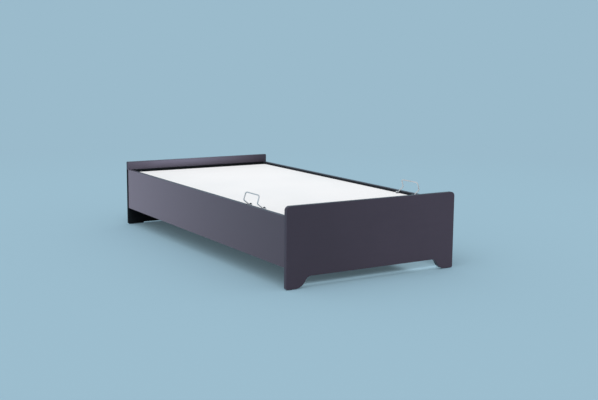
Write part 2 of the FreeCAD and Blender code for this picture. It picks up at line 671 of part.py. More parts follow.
def rest_bracket(place, side):
    """Return the steel angle on a rail that carries a pad under the side tube."""
    section = angle_section(REST_LEG, REST_DROP, REST_THICKNESS, REST_BEND)
    angle = section.extrude(Vector(0, 0, REST_WIDTH))
    angle.rotate(Vector(0, 0, 0), Vector(1, 0, 0), 90)
    angle.rotate(Vector(0, 0, 0), Vector(0, 1, 0), 180)
    top = TUBE_BOTTOM - PAD_GAP - PAD_HEIGHT
    angle.translate(Vector(RAIL_INNER, rest_places()[place] + REST_WIDTH / 2, top))
    return sided(angle, side).cut(rest_screw_bores())


def rest_screw_places():
    """Return the places of the right-hand rest brackets' screws."""
    height = TUBE_BOTTOM - PAD_GAP - PAD_HEIGHT - REST_SCREW_DROP
    reach = REST_WIDTH / 2 - REST_SCREW_EDGE
    return [Vector(RAIL_INNER - REST_THICKNESS, middle + step, height)
            for middle in rest_places().values() for step in (-reach, reach)]


def rest_screw_bores():
    """Return the cutters of the rest brackets' screws."""
    cutter = plate_screw_cutter()
    return both_sides([aimed(cutter, place, Vector(1, 0, 0)) for place in rest_screw_places()])


def rest_screws():
    """Return the screws of the four rest brackets."""
    screw = plate_screw()
    return both_sides([aimed(screw, place, Vector(1, 0, 0)) for place in rest_screw_places()])


def rest_pads():
    """Return the rubber pads on the rest brackets."""
    base = TUBE_BOTTOM - PAD_GAP - PAD_HEIGHT
    centre = (TUBE_OUTER + TUBE_INNER) / 2
    half = PAD_SIZE / 2
    pads = []
    for middle in rest_places().values():
        pad = box(Vector(centre - half, middle - half, base),
                  Vector(centre + half, middle + half, base + PAD_HEIGHT))
        top = [edge for edge in pad.Edges if edge.BoundBox.ZMin > base + PAD_HEIGHT / 2]
        pads.append(pad.makeChamfer(PAD_CHAMFER, top))
    return both_sides(pads)


def tube_frame_holes():
    """Return the cutters of the board screws and retainer screws."""
    up = Vector(0, 0, 1)
    reach = OVERRUN + TUBE_SIZE + BOARD_SCREW_BITE + SCREW_GAP
    board = [bore(place - up * OVERRUN, up, BOARD_SCREW_DIAMETER + SCREW_GAP, reach)
             for place in board_screw_places()]
    depth = cap_screw_length() + SCREW_GAP
    caps = [bore(place - up * depth, up, CAP_SCREW_DIAMETER + SCREW_GAP, depth) for place in cap_places()]
    return both_sides(board + caps)


def hollow_tube(low, high, axis):
    """Return a square tube between two corners, open at both ends along an axis."""
    reach = {"X": Vector(1, 0, 0), "Y": Vector(0, 1, 0)}[axis]
    wall = (Vector(1, 1, 1) - reach) * TUBE_WALL
    hollow = box(low + wall - reach * OVERRUN, high - wall + reach * OVERRUN)
    return box(low, high).cut(hollow)


def side_tube(side):
    """Return the long tube under one edge of the board."""
    low = Vector(TUBE_INNER, TUBE_FOOT, TUBE_BOTTOM)
    tube = hollow_tube(low, Vector(TUBE_OUTER, TUBE_HEAD, TUBE_TOP), "Y")
    return sided(tube, side).cut(tube_frame_holes())


def cross_tube(middle):
    """Return a tube across the frame, welded between the side tubes."""
    half = TUBE_SIZE / 2
    low = Vector(-TUBE_INNER, middle - half, TUBE_BOTTOM)
    return hollow_tube(low, Vector(TUBE_INNER, middle + half, TUBE_TOP), "X")


def cross_tube_places():
    """Return the middles of the cross tubes along the bed, by node name."""
    first = TUBE_FOOT + TUBE_SIZE / 2
    last = TUBE_HEAD - TUBE_SIZE / 2
    places = {"foot_tube": first, "head_tube": last}
    for index in range(CROSS_TUBES):
        places["cross_tube_" + str(index + 1)] = first + (last - first) * (index + 1) / (CROSS_TUBES + 1)
    return places


def tube_plugs():
    """Return the plastic plugs in the ends of the side tubes."""
    low = Vector(TUBE_INNER, TUBE_HEAD, TUBE_BOTTOM)
    plate = box(low, Vector(TUBE_OUTER, TUBE_HEAD + PLUG_PLATE, TUBE_TOP))
    outer = [edge for edge in plate.Edges if edge.BoundBox.YMin > TUBE_HEAD + PLUG_PLATE / 2]
    plate = plate.makeChamfer(PLUG_CHAMFER, outer)
    wall = Vector(TUBE_WALL + PLUG_GAP, 0, TUBE_WALL + PLUG_GAP)
    spigot = box(low + wall - Vector(0, PLUG_DEPTH, 0), Vector(TUBE_OUTER, TUBE_HEAD, TUBE_TOP) - wall)
    head_plug = joined([plate, spigot])
    foot_plug = head_plug.mirror(Vector(0, (TUBE_HEAD + TUBE_FOOT) / 2, 0), Vector(0, 1, 0))
    return both_sides([head_plug, foot_plug])


def bed_board():
    """Return the closed white board of the base."""
    low = Vector(-BOARD_HALF_WIDTH, BOARD_FOOT, BOARD_BOTTOM)
    board = box(low, Vector(BOARD_HALF_WIDTH, BOARD_HEAD, BOARD_TOP))
    rims = [edge for edge in board.Edges if edge.BoundBox.ZMax > BOARD_TOP - PICK_TOLERANCE]
    return board.makeFillet(BOARD_ROUND, rims).cut(tube_frame_holes() + spacer_seats())


def board_screw_places():
    """Return the places, under the right-hand side tube, of the screws into the board."""
    middle = (TUBE_OUTER + TUBE_INNER) / 2
    run = TUBE_HEAD - TUBE_FOOT
    return [Vector(middle, TUBE_FOOT + run * share, TUBE_BOTTOM) for share in BOARD_SCREW_SHARES]


def board_screws():
    """Return the screws that hold the board on its side tubes."""
    screw = dome_screw(BOARD_SCREW_HEAD_DIAMETER, BOARD_SCREW_HEAD_HEIGHT, BOARD_SCREW_DIAMETER,
                       TUBE_SIZE + BOARD_SCREW_BITE)
    return both_sides([aimed(screw, place, Vector(0, 0, 1)) for place in board_screw_places()])


def retainer_ends():
    """Return the two places along the bed where a retainer's legs stand."""
    middle = RETAINER_FROM_FOOT - HALF_LENGTH
    return middle + RETAINER_LENGTH / 2, middle - RETAINER_LENGTH / 2


def cap_places():
    """Return the places, on top of the right-hand retainer's eyes, of its cap screws."""
    top = BOARD_TOP + SPACER_HEIGHT + EYE_DISC_HEIGHT
    return [Vector(BOARD_HALF_WIDTH - EYE_DISC_INSET, end, top) for end in retainer_ends()]


def cap_screw_length():
    """Return the length of a cap screw's shank, from the eye's top into the tube."""
    return EYE_DISC_HEIGHT + SPACER_HEIGHT + BOARD_THICKNESS + CAP_SCREW_INTO_TUBE


def retainer_caps():
    """Return the black cap screws of both retainers."""
    screw = dome_screw(CAP_DIAMETER, CAP_HEIGHT, CAP_SCREW_DIAMETER, cap_screw_length())
    return both_sides([aimed(screw, place, Vector(0, 0, -1)) for place in cap_places()])


def spacer_bases():
    """Return the places, in their seats in the board, where the right-hand spacers stand."""
    return [Vector(place.x, place.y, BOARD_TOP - SPACER_SEAT_DEPTH) for place in cap_places()]


def spacer_seats():
    """Return the cutters of the shallow seats that hold the spacers in the board's top."""
    depth = SPACER_SEAT_DEPTH + OVERRUN
    return both_sides([bore(base, Vector(0, 0, 1), SPACER_DIAMETER + SPACER_SEAT_GAP, depth)
                       for base in spacer_bases()])


def retainer_spacers():
    """Return the spacers between the retainers' eyes and the board, each standing in its seat."""
    height = SPACER_SEAT_DEPTH + SPACER_HEIGHT
    rings = []
    for base in spacer_bases():
        ring = Part.makeCylinder(SPACER_DIAMETER / 2, height, base)
        rings.append(ring.cut(bore(base, Vector(0, 0, 1), CAP_SCREW_DIAMETER + SCREW_GAP, height)))
    return both_sides(rings)


def bent_wire(points, radii, diameter):
    """Return a round wire along straight runs joined by tangent arcs at the inner points."""
    edges = []
    start = points[0]
    for before, corner, after, radius in zip(points, points[1:], points[2:], radii):
        inward = (before - corner).normalize()
        outward = (after - corner).normalize()
        half_angle = inward.getAngle(outward) / 2
        setback = radius / math.tan(half_angle)
        first = corner + inward * setback
        last = corner + outward * setback
        bisector = (inward + outward).normalize()
        middle = corner + bisector * (radius / math.sin(half_angle) - radius)
        edges += [Part.LineSegment(start, first).toShape(), Part.Arc(first, middle, last).toShape()]
        start = last
    edges.append(Part.LineSegment(start, points[-1]).toShape())
    path = Part.Wire(edges)
    ring = Part.Wire(Part.makeCircle(diameter / 2, points[0], points[1] - points[0]))
    return path.makePipeShell([ring], True, True)


def retainer(side):
    """Return a bent-wire retainer: two feet on the board, knees over the rail and a top bar."""
    back, front = retainer_ends()
    eye_x = BOARD_HALF_WIDTH - EYE_DISC_INSET
    wire_z = BOARD_TOP + SPACER_HEIGHT + WIRE_DIAMETER / 2
    knee_x = RAIL_OUTER - RETAINER_KNEE_INSET
    knee_z = RAIL_TOP + RETAINER_KNEE_HEIGHT
    top_x = HALF_WIDTH - RETAINER_TOP_INSET
    top_z = RAIL_TOP + RETAINER_TOP_HEIGHT
    half = [Vector(eye_x + WIRE_START, back, wire_z), Vector(knee_x, back, knee_z),
            Vector(top_x, back, top_z)]
    points = half + [Vector(point.x, front, point.z) for point in reversed(half)]
    wire = bent_wire(points, (KNEE_RADIUS, TOP_RADIUS, TOP_RADIUS, KNEE_RADIUS), WIRE_DIAMETER)
    pieces = [wire]
    holes = []
    for end in (back, front):
        base = Vector(eye_x, end, BOARD_TOP + SPACER_HEIGHT)
        pieces.append(Part.makeCylinder(EYE_DISC_DIAMETER / 2, EYE_DISC_HEIGHT, base))
        holes.append(bore(base - Vector(0, 0, OVERRUN), Vector(0, 0, 1), CAP_SCREW_DIAMETER + SCREW_GAP,
                          EYE_DISC_HEIGHT + 2 * OVERRUN))
    return sided(joined(pieces).cut(holes), side)


def all_nodes():
    """Return every piece of the bed by its node name."""
    bracket_foot = (FOOT_RISE, FOOT_FLAT, FOOT_ROUND, FOOT_FILLET)
    low_foot = (HEAD_FOOT_RISE, HEAD_FOOT_FLAT, HEAD_FOOT_ROUND, HEAD_FOOT_FILLET)
    nodes = {
        "headboard": end_panel(HEAD_INNER, HEADBOARD_CORNER, low_foot),
        "footboard": end_panel(FOOT_INNER, FOOTBOARD_CORNER, bracket_foot),
        "rail_dowels": rail_dowels(),
        "bracket_bolts": bracket_bolts(),
        "foot_glides": foot_glides(),
        "plate_screws": plate_screws(),
        "rest_screws": rest_screws(),
        "rest_pads": rest_pads(),
        "tube_plugs": tube_plugs(),
        "bed_board": bed_board(),
        "board_screws": board_screws(),
        "retainer_caps": retainer_caps(),
        "retainer_spacers": retainer_spacers(),
    }
    half_gap = FLOOR_JOINT_GAP / 2
    nodes["floor_board_foot"] = floor_board(FOOT_INNER, -BEARER_PLACE - half_gap)
    nodes["floor_board_middle"] = floor_board(half_gap - BEARER_PLACE, BEARER_PLACE - half_gap)
    nodes["floor_board_head"] = floor_board(BEARER_PLACE + half_gap, HEAD_INNER)
    for name, middle in cross_tube_places().items():
        nodes[name] = cross_tube(middle)
    for end in ("head", "foot"):
        nodes["floor_cleat_" + end] = floor_cleat_end(end)
        nodes["floor_bearer_" + end] = floor_bearer(end)
        nodes["centre_leg_" + end] = centre_leg(end)
        for side in SIDES:
            nodes["corner_bracket_" + end + "_" + side] = corner_bracket(end, side)
    for side in SIDES:
        for place in rest_places():
            nodes["rest_bracket_" + place + "_" + side] = rest_bracket(place, side)
        for maker in (side_rail, hinge_plate, pivot_rivet, strut_stud, strut_pin, hinge_arm, strut_bracket,
                      strut_rod, strut_cylinder, side_tube, retainer):
            nodes[maker.__name__ + "_" + side] = maker(side)
        nodes["floor_cleat_" + side] = floor_cleat_side(side)
    return nodes


def main():
    """Write one STEP file for each node."""
    os.makedirs("parts", exist_ok=True)
    for name, made in all_nodes().items():
        solids = made if isinstance(made, list) else [made]
        loose = [solid for shape in solids for solid in shape.Solids]
        if not all(solid.isValid() for solid in loose):
            raise ValueError(name + " isn't a valid solid")
        shape = loose[0] if len(loose) == 1 else Part.makeCompound(loose)
        shape.exportStep(os.path.join("parts", name + ".step"))
        print(name, len(loose), "solids")


main()
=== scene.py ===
"""Looks of a low storage bed with a lift-up base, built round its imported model.

Lengths are metres in the model's frame: X across the bed, Y towards the headboard, Z up, the floor at zero.
"""

import json
import logging
import math
from collections.abc import Callable, Iterable, Sequence
from dataclasses import dataclass, field
from enum import Enum
from typing import Any

import bpy
from mathutils import Matrix, Vector

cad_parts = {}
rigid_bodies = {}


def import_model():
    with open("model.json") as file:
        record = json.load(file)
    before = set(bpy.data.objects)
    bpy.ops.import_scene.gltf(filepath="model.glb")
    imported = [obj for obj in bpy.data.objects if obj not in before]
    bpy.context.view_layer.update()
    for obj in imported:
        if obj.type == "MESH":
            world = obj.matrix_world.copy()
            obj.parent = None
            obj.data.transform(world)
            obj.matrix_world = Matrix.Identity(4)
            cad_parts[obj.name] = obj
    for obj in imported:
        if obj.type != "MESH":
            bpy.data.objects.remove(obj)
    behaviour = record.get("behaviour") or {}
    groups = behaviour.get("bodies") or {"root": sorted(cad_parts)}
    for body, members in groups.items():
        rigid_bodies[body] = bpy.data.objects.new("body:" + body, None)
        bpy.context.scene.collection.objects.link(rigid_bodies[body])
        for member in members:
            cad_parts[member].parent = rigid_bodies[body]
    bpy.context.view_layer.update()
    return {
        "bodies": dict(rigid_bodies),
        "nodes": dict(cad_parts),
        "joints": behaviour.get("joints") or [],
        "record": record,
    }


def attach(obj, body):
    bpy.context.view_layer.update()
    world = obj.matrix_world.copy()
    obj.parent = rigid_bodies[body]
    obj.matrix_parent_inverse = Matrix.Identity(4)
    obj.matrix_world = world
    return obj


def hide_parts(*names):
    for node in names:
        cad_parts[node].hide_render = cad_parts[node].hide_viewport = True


Point = tuple[float, float, float]
Pair = tuple[float, float]
Colour = tuple[float, float, float, float]
Frame = dict[str, Any]
Piece = bpy.types.Object
Node = bpy.types.Node
Socket = bpy.types.NodeSocket
Feed = float | tuple[float, ...] | Socket

log = logging.getLogger("bed")

# Sizes that several parts share
RAIL_TOP = 0.342
RAIL_INNER = 0.466
PANEL_INNER = 0.953
STEEL_THICKNESS = 0.004

# How near two lengths are that count as one, and how much of a normal lies along an axis that its face looks along
NEAR = 1e-5
FACING = 0.9

# Signs of the axes in a mirror image across the bed and in one along it
TO_OTHER_SIDE: Point = (-1.0, 1.0, 1.0)
TO_OTHER_END: Point = (1.0, -1.0, 1.0)


class Place(Enum):
    """A side or an end of the bed, whose value is the sign of its axis."""

    @property
    def word(self) -> str:
        """The place's word in node names."""
        return self.name.lower()


class Side(Place):
    """A side of the bed, with the sign of its X."""

    LEFT = -1
    RIGHT = 1


class End(Place):
    """An end of the bed, with the sign of its Y."""

    FOOT = -1
    HEAD = 1


class Run(Enum):
    """The direction in which a board's grain runs, with the turn that brings it onto X."""

    ACROSS = (0.0, 0.0, 0.0)
    ALONG = (0.0, 0.0, math.pi / 2)


class Recess(Enum):
    """The recess in a screw's head, with the reach of its outline at each step round the head."""

    HEXAGON = (1.0, 0.897, 0.866, 0.897)
    CROSS = (1.0, 0.5, 0.34, 0.5)


class SocketKind(Enum):
    """The kind of a node group's socket."""

    VECTOR = "NodeSocketVector"
    NUMBER = "NodeSocketFloat"


def nodes_of(stem: str, places: Iterable[Place]) -> list[str]:
    """List the nodes whose names are a stem and the word of a side or an end."""
    return [stem + place.word for place in places]


def srgb(red: float, green: float, blue: float) -> Colour:
    """Turn a colour as seen on a screen into the shader's linear one.

    Args:
        red: Red from 0 to 255.
        green: Green from 0 to 255.
        blue: Blue from 0 to 255.

    Returns:
        The linear colour with full alpha.
    """
    def straight(channel: float) -> float:
        """Undo the screen's curve on one channel."""
        part = channel / 255
        return part / 12.92 if part <= 0.04045 else ((part + 0.055) / 1.055) ** 2.4
    return straight(red), straight(green), straight(blue), 1.0


def shaded(colour: Colour, factor: float) -> Colour:
    """Multiply a colour's channels by a factor."""
    return colour[0] * factor, colour[1] * factor, colour[2] * factor, 1.0


# Shader nodes

@dataclass
class NodeBoard:
    """A node tree with short ways of adding nodes to it."""

    tree: bpy.types.NodeTree

    def feed(self, socket: Socket, value: Feed) -> None:
        """Link a socket to another, or set its value.

        Args:
            socket: The input to fill.
            value: An output socket, a number or a tuple.
        """
        if isinstance(value, bpy.types.NodeSocket):
            self.tree.links.new(value, socket)
        else:
            socket.default_value = value

    def add(self, kind: str, inputs: dict[str, Feed] | None = None, **settings: object) -> Node:
        """Add a node.

        Args:
            kind: Its type.
            inputs: Values or links for its inputs by name.
            settings: Its own properties.

        Returns:
            The node.
        """
        node = self.tree.nodes.new(kind)
        for name, value in settings.items():
            setattr(node, name, value)
        for name, value in (inputs or {}).items():
            self.feed(node.inputs[name], value)
        return node

    def add_in_order(self, kind: str, values: Iterable[Feed], **settings: object) -> Node:
        """Add a node whose inputs have no names of their own.

        Args:
            kind: Its type.
            values: Values or links for its inputs in their order.
            settings: Its own properties.

        Returns:
            The node.
        """
        node = self.add(kind, **settings)
        for socket, value in zip(node.inputs, values):
            self.feed(socket, value)
        return node

    def maths(self, operation: str, first: Feed, second: Feed) -> Socket:
        """Work out one number from two."""
        return self.add_in_order("ShaderNodeMath", (first, second), operation=operation).outputs[0]

    def product(self, first: Feed, second: Feed) -> Socket:
        """Multiply two numbers."""
        return self.maths("MULTIPLY", first, second)

    def vector_maths(self, operation: str, *vectors: Feed) -> Socket:
        """Work out one vector from others."""
        return self.add_in_order("ShaderNodeVectorMath", vectors, operation=operation).outputs["Vector"]

    def vector_number(self, operation: str, *vectors: Feed) -> Socket:
        """Work out one number from vectors."""
        return self.add_in_order("ShaderNodeVectorMath", vectors, operation=operation).outputs["Value"]

    def split(self, vector: Feed) -> tuple[Socket, ...]:
        """Give a vector's three numbers."""
        return tuple(self.add("ShaderNodeSeparateXYZ", {"Vector": vector}).outputs)

    def mix(self, mask: Feed, first: Feed, second: Feed) -> Socket:
        """Mix two colours by a mask.

        Args:
            mask: How much of the second colour shows.
            first: The first colour.
            second: The second colour.

        Returns:
            The mixed colour's socket.
        """
        node = self.add("ShaderNodeMix", data_type="RGBA")
        for label, value in (("Factor_Float", mask), ("A_Color", first), ("B_Color", second)):
            self.feed(next(socket for socket in node.inputs if socket.identifier == label), value)
        return next(socket for socket in node.outputs if socket.identifier == "Result_Color")

    def veil(self, mask: Feed, share: float, tone: Feed, colour: Feed) -> Socket:
        """Lay a share of a colour over a tone where a mask is."""
        return self.mix(self.product(mask, share), tone, colour)

    def spread(self, value: Feed, low: Feed, high: Feed, to_low: Feed, to_high: Feed) -> Socket:
        """Spread a value's range smoothly onto another one.

        Args:
            value: What is spread.
            low: Where the first range starts.
            high: Where the first range ends.
            to_low: Where the new range starts.
            to_high: Where the new range ends.

        Returns:
            The spread value's socket.
        """
        return self.add_in_order("ShaderNodeMapRange", (value, low, high, to_low, to_high),
                                 interpolation_type="SMOOTHSTEP").outputs[0]

    def rise(self, value: Feed, low: Feed, high: Feed) -> Socket:
        """Give a mask that goes from 0 at a low value to 1 at a high one."""
        return self.spread(value, low, high, 0.0, 1.0)

    def fall(self, value: Feed, low: Feed, high: Feed) -> Socket:
        """Give a mask that goes from 1 at a low value to 0 at a high one."""
        return self.spread(value, low, high, 1.0, 0.0)

    def noise(self, vector: Feed, scale: Feed, detail: float, roughness: float) -> Socket:
        """Add a noise.

        Args:
            vector: Where it is read.
            scale: Its scale.
            detail: Its octaves.
            roughness: How strong the finer octaves are.

        Returns:
            The noise's value socket.
        """
        return self.add("ShaderNodeTexNoise", {"Vector": vector, "Scale": scale, "Detail": detail,
                                               "Roughness": roughness}).outputs[0]

    def stretched(self, vector: Feed, scale: Point, turn: Point = (0.0, 0.0, 0.0)) -> Socket:
        """Turn and stretch a place before a pattern reads it.

        Args:
            vector: The place.
            scale: The stretch along each axis.
            turn: The turn about each axis, in radians.

        Returns:
            The new place's socket.
        """
        return self.add("ShaderNodeMapping", {"Vector": vector, "Scale": scale, "Rotation": turn}).outputs[0]

    def turned(self, vector: Feed, run: Run) -> Socket:
        """Turn a place so that the grain of a board runs along X."""
        return self.stretched(vector, (1.0, 1.0, 1.0), run.value)

    def place(self) -> Socket:
        """Give the surface's place in the piece's own metres."""
        return self.add("ShaderNodeTexCoord").outputs["Object"]

    def normal(self) -> Socket:
        """Give the surface's normal."""
        return self.add("ShaderNodeNewGeometry").outputs["Normal"]

    def group(self, effect: "Effect", **inputs: Feed) -> Node:
        """Place an effect's node group, with values or links for its inputs by name."""
        return self.add("ShaderNodeGroup", inputs, node_tree=effect.tree())

    def bump(self, height: Feed, distance: float, strength: float = 1.0, below: Socket | None = None) -> Socket:
        """Raise the surface by a height.

        Args:
            height: The height from 0 to 1.
            distance: How far 1 is, in metres.
            strength: How much of it shows.
            below: The normal of a bump below this one.

        Returns:
            The bumped normal's socket.
        """
        node = self.add("ShaderNodeBump", {"Height": height, "Distance": distance, "Strength": strength})
        if below is not None:
            self.feed(node.inputs["Normal"], below)
        return node.outputs[0]


@dataclass(frozen=True)
class Effect:
    """A shader node group that more than one material uses, with what builds its inside.

    The builder is given the group's board and the node of its inputs, and gives its output sockets.
    """

    name: str
    inputs: dict[str, SocketKind]
    outputs: tuple[str, ...]
    fill: Callable[[NodeBoard, Node], Sequence[Socket]]

    def tree(self) -> bpy.types.NodeTree:
        """Give the group, made once.

        Returns:
            The group's node tree.
        """
        made = bpy.data.node_groups.get(self.name)
        if made is not None:
            return made
        made = bpy.data.node_groups.new(self.name, "ShaderNodeTree")
        for label, kind in self.inputs.items():
            made.interface.new_socket(name=label, in_out="INPUT", socket_type=kind.value)
        for label in self.outputs:
            made.interface.new_socket(name=label, in_out="OUTPUT", socket_type=SocketKind.NUMBER.value)
        board = NodeBoard(made)
        results = self.fill(board, board.add("NodeGroupInput"))
        board.add("NodeGroupOutput", dict(zip(self.outputs, results)))
        return made


def fill_clouds(board: NodeBoard, entry: Node) -> Sequence[Socket]:
    """Make slow clouds of tone and a fine tooth.

    Args:
        board: The group's board.
        entry: The node of its inputs.

    Returns:
        The clouds and the tooth, each from 0 to 1.
    """
    place, scale = entry.outputs["Place"], entry.outputs["Scale"]
    slow = board.noise(place, scale, detail=4.0, roughness=0.55)
    fine = board.noise(place, board.product(scale, entry.outputs["Tooth"]), detail=2.0, roughness=0.6)
    return board.rise(slow, 0.3, 0.7), board.rise(fine, 0.25, 0.75)


def fill_edges(board: NodeBoard, entry: Node) -> Sequence[Socket]:
    """Find the edges, the end faces and the top of a straight board.

    Args:
        board: The group's board.
        entry: The node of its inputs.

    Returns:
        The masks of the ragged edges, of the end faces across the bed and of the top face.
    """
    face_depth = 0.0022
    place = entry.outputs["Place"]
    away = board.vector_maths("ABSOLUTE", board.vector_maths("SUBTRACT", place, entry.outputs["Middle"]))
    across, along, height = board.split(board.vector_maths("SUBTRACT", entry.outputs["Half"], away))
    nearer = board.maths("MINIMUM", across, along)
    farther = board.maths("MAXIMUM", across, along)
    second = board.maths("MAXIMUM", nearer, board.maths("MINIMUM", farther, height))
    ragged = board.noise(place, 90.0, detail=3.0, roughness=0.7)
    reach = board.product(entry.outputs["Width"], board.spread(ragged, 0.3, 0.7, 0.2, 1.2))
    return board.fall(second, 0.0, reach), board.fall(across, 0.0, face_depth), board.fall(height, 0.0, face_depth)


def fill_grain(board: NodeBoard, entry: Node) -> Sequence[Socket]:
    """Make the growth lines, pores and knots of wood whose grain runs along X.

    Args:
        board: The group's board.
        entry: The node of its inputs.

    Returns:
        The lines, the fibre with its pores and the knots, each from 0 to 1.
    """
    place, scale = entry.outputs["Place"], entry.outputs["Scale"]
    lines = board.add("ShaderNodeTexWave", {"Vector": board.stretched(place, (0.9, 11.0, 11.0)), "Scale": scale,
                                            "Distortion": 5.0, "Detail": 3.0, "Detail Scale": 0.7},
                      bands_direction="Y")
    fibre = board.noise(board.stretched(place, (5.0, 190.0, 190.0)), scale, detail=4.0, roughness=0.65)
    knots = board.add("ShaderNodeTexVoronoi", {"Vector": board.stretched(place, (2.2, 9.0, 9.0)), "Scale": scale,
                                               "Randomness": 1.0})
    return lines.outputs[1], board.rise(fibre, 0.42, 0.66), board.fall(knots.outputs[0], 0.02, 0.13)


def fill_cells(board: NodeBoard, entry: Node) -> Sequence[Socket]:
    """Make small cells of one tone each, as in spangled zinc or the flakes of pressed board.

    Args:
        board: The group's board.
        entry: The node of its inputs.

    Returns:
        The cells' tone.
    """
    cells = board.add("ShaderNodeTexVoronoi", {"Vector": entry.outputs["Place"], "Scale": entry.outputs["Scale"]})
    return (board.add("ShaderNodeSeparateColor", {"Color": cells.outputs["Color"]}).outputs[0],)


def fill_dust(board: NodeBoard, entry: Node) -> Sequence[Socket]:
    """Lay thin drifting dust on the faces that look up.

    Args:
        board: The group's board.
        entry: The node of its inputs.

    Returns:
        The dust's mask.
    """
    facing = board.rise(board.split(board.normal())[2], 0.5, 1.0)
    drift = board.noise(entry.outputs["Place"], 14.0, detail=5.0, roughness=0.6)
    return (board.product(board.product(facing, board.spread(drift, 0.35, 0.75, 0.2, 1.0)),
                          entry.outputs["Amount"]),)


CLOUDS = Effect("clouds and tooth", {"Place": SocketKind.VECTOR, "Scale": SocketKind.NUMBER,
                                     "Tooth": SocketKind.NUMBER}, ("Clouds", "Tooth"), fill_clouds)
EDGES = Effect("board edges", {"Place": SocketKind.VECTOR, "Middle": SocketKind.VECTOR,
                               "Half": SocketKind.VECTOR, "Width": SocketKind.NUMBER},
               ("Edge", "Side", "Rim"), fill_edges)
GRAIN = Effect("wood grain", {"Place": SocketKind.VECTOR, "Scale": SocketKind.NUMBER},
               ("Lines", "Fibre", "Knots"), fill_grain)
CELLS = Effect("cells", {"Place": SocketKind.VECTOR, "Scale": SocketKind.NUMBER}, ("Tone",), fill_cells)
DUST = Effect("dust", {"Place": SocketKind.VECTOR, "Amount": SocketKind.NUMBER}, ("Dust",), fill_dust)


# Finishes

@dataclass(frozen=True)
class Finish:
    """What every finish has: its material's name, its main colour and its mean roughness."""

    name: str
    colour: Colour
    roughness: float

    def material(self) -> bpy.types.Material:
        """Give this finish's material, made once.

        Returns:
            The material.
        """
        made = bpy.data.materials.get(self.name)
        if made is None:
            made = bpy.data.materials.new(self.name)
            made.use_nodes = True
            board = NodeBoard(made.node_tree)
            board.tree.nodes.clear()
            shader = board.add("ShaderNodeBsdfPrincipled")
            board.add("ShaderNodeOutputMaterial", {"Surface": shader.outputs[0]})
            self.paint(board, shader)
        return made

    def paint(self, board: NodeBoard, shader: Node) -> None:
        """Build the nodes that feed the shader.

        Args:
            board: The material's board.
            shader: Its surface shader.
        """
        raise NotImplementedError

    def tint(self, factor: float) -> Colour:
        """Give the main colour, lighter or darker by a factor."""
        return shaded(self.colour, factor)

    def dusted(self, board: NodeBoard, place: Socket, tone: Socket, amount: float, colour: Colour) -> Socket:
        """Lay dust over a tone.

        Args:
            board: The material's board.
            place: The surface's place.
            tone: The tone below the dust.
            amount: How thick the dust is, from 0 to 1.
            colour: Its colour.

        Returns:
            The dusty tone's socket.
        """
        return board.mix(board.group(DUST, Place=place, Amount=amount).outputs[0], tone, colour)

    def swung_roughness(self, board: NodeBoard, mask: Feed, swing: float) -> Socket:
        """Let the roughness swing about its mean.

        Args:
            board: The material's board.
            mask: Where it is rougher, from 0 to 1.
            swing: How far it goes each way.

        Returns:
            The roughness's socket.
        """
        return board.spread(mask, 0.0, 1.0, self.roughness - swing, self.roughness + swing)


@dataclass(frozen=True)
class BoardFinish(Finish):
    """A finish that knows the straight board it is on, so that it can find the board's edges."""

    middle: Point
    half: Point

    def edges(self, board: NodeBoard, place: Socket, width: float) -> Node:
        """Place the group that finds the edges, up to a width from them."""
        return board.group(EDGES, Place=place, Middle=self.middle, Half=self.half, Width=width)


@dataclass(frozen=True)
class BoardLook:
    """How one lacquered board differs from the others.

    Its side of the storage box carries painted shade, a black up to a height, and its end faces carry that painted
    shade too by a share. Its end faces carry painted light and its top painted shade, each a factor on the tone of
    its faces.
    """

    black: Colour
    painted_shade_top: float
    painted_shade_ends: float = 0.0
    end_painted_light: float = 1.0
    top_painted_shade: float = 1.0


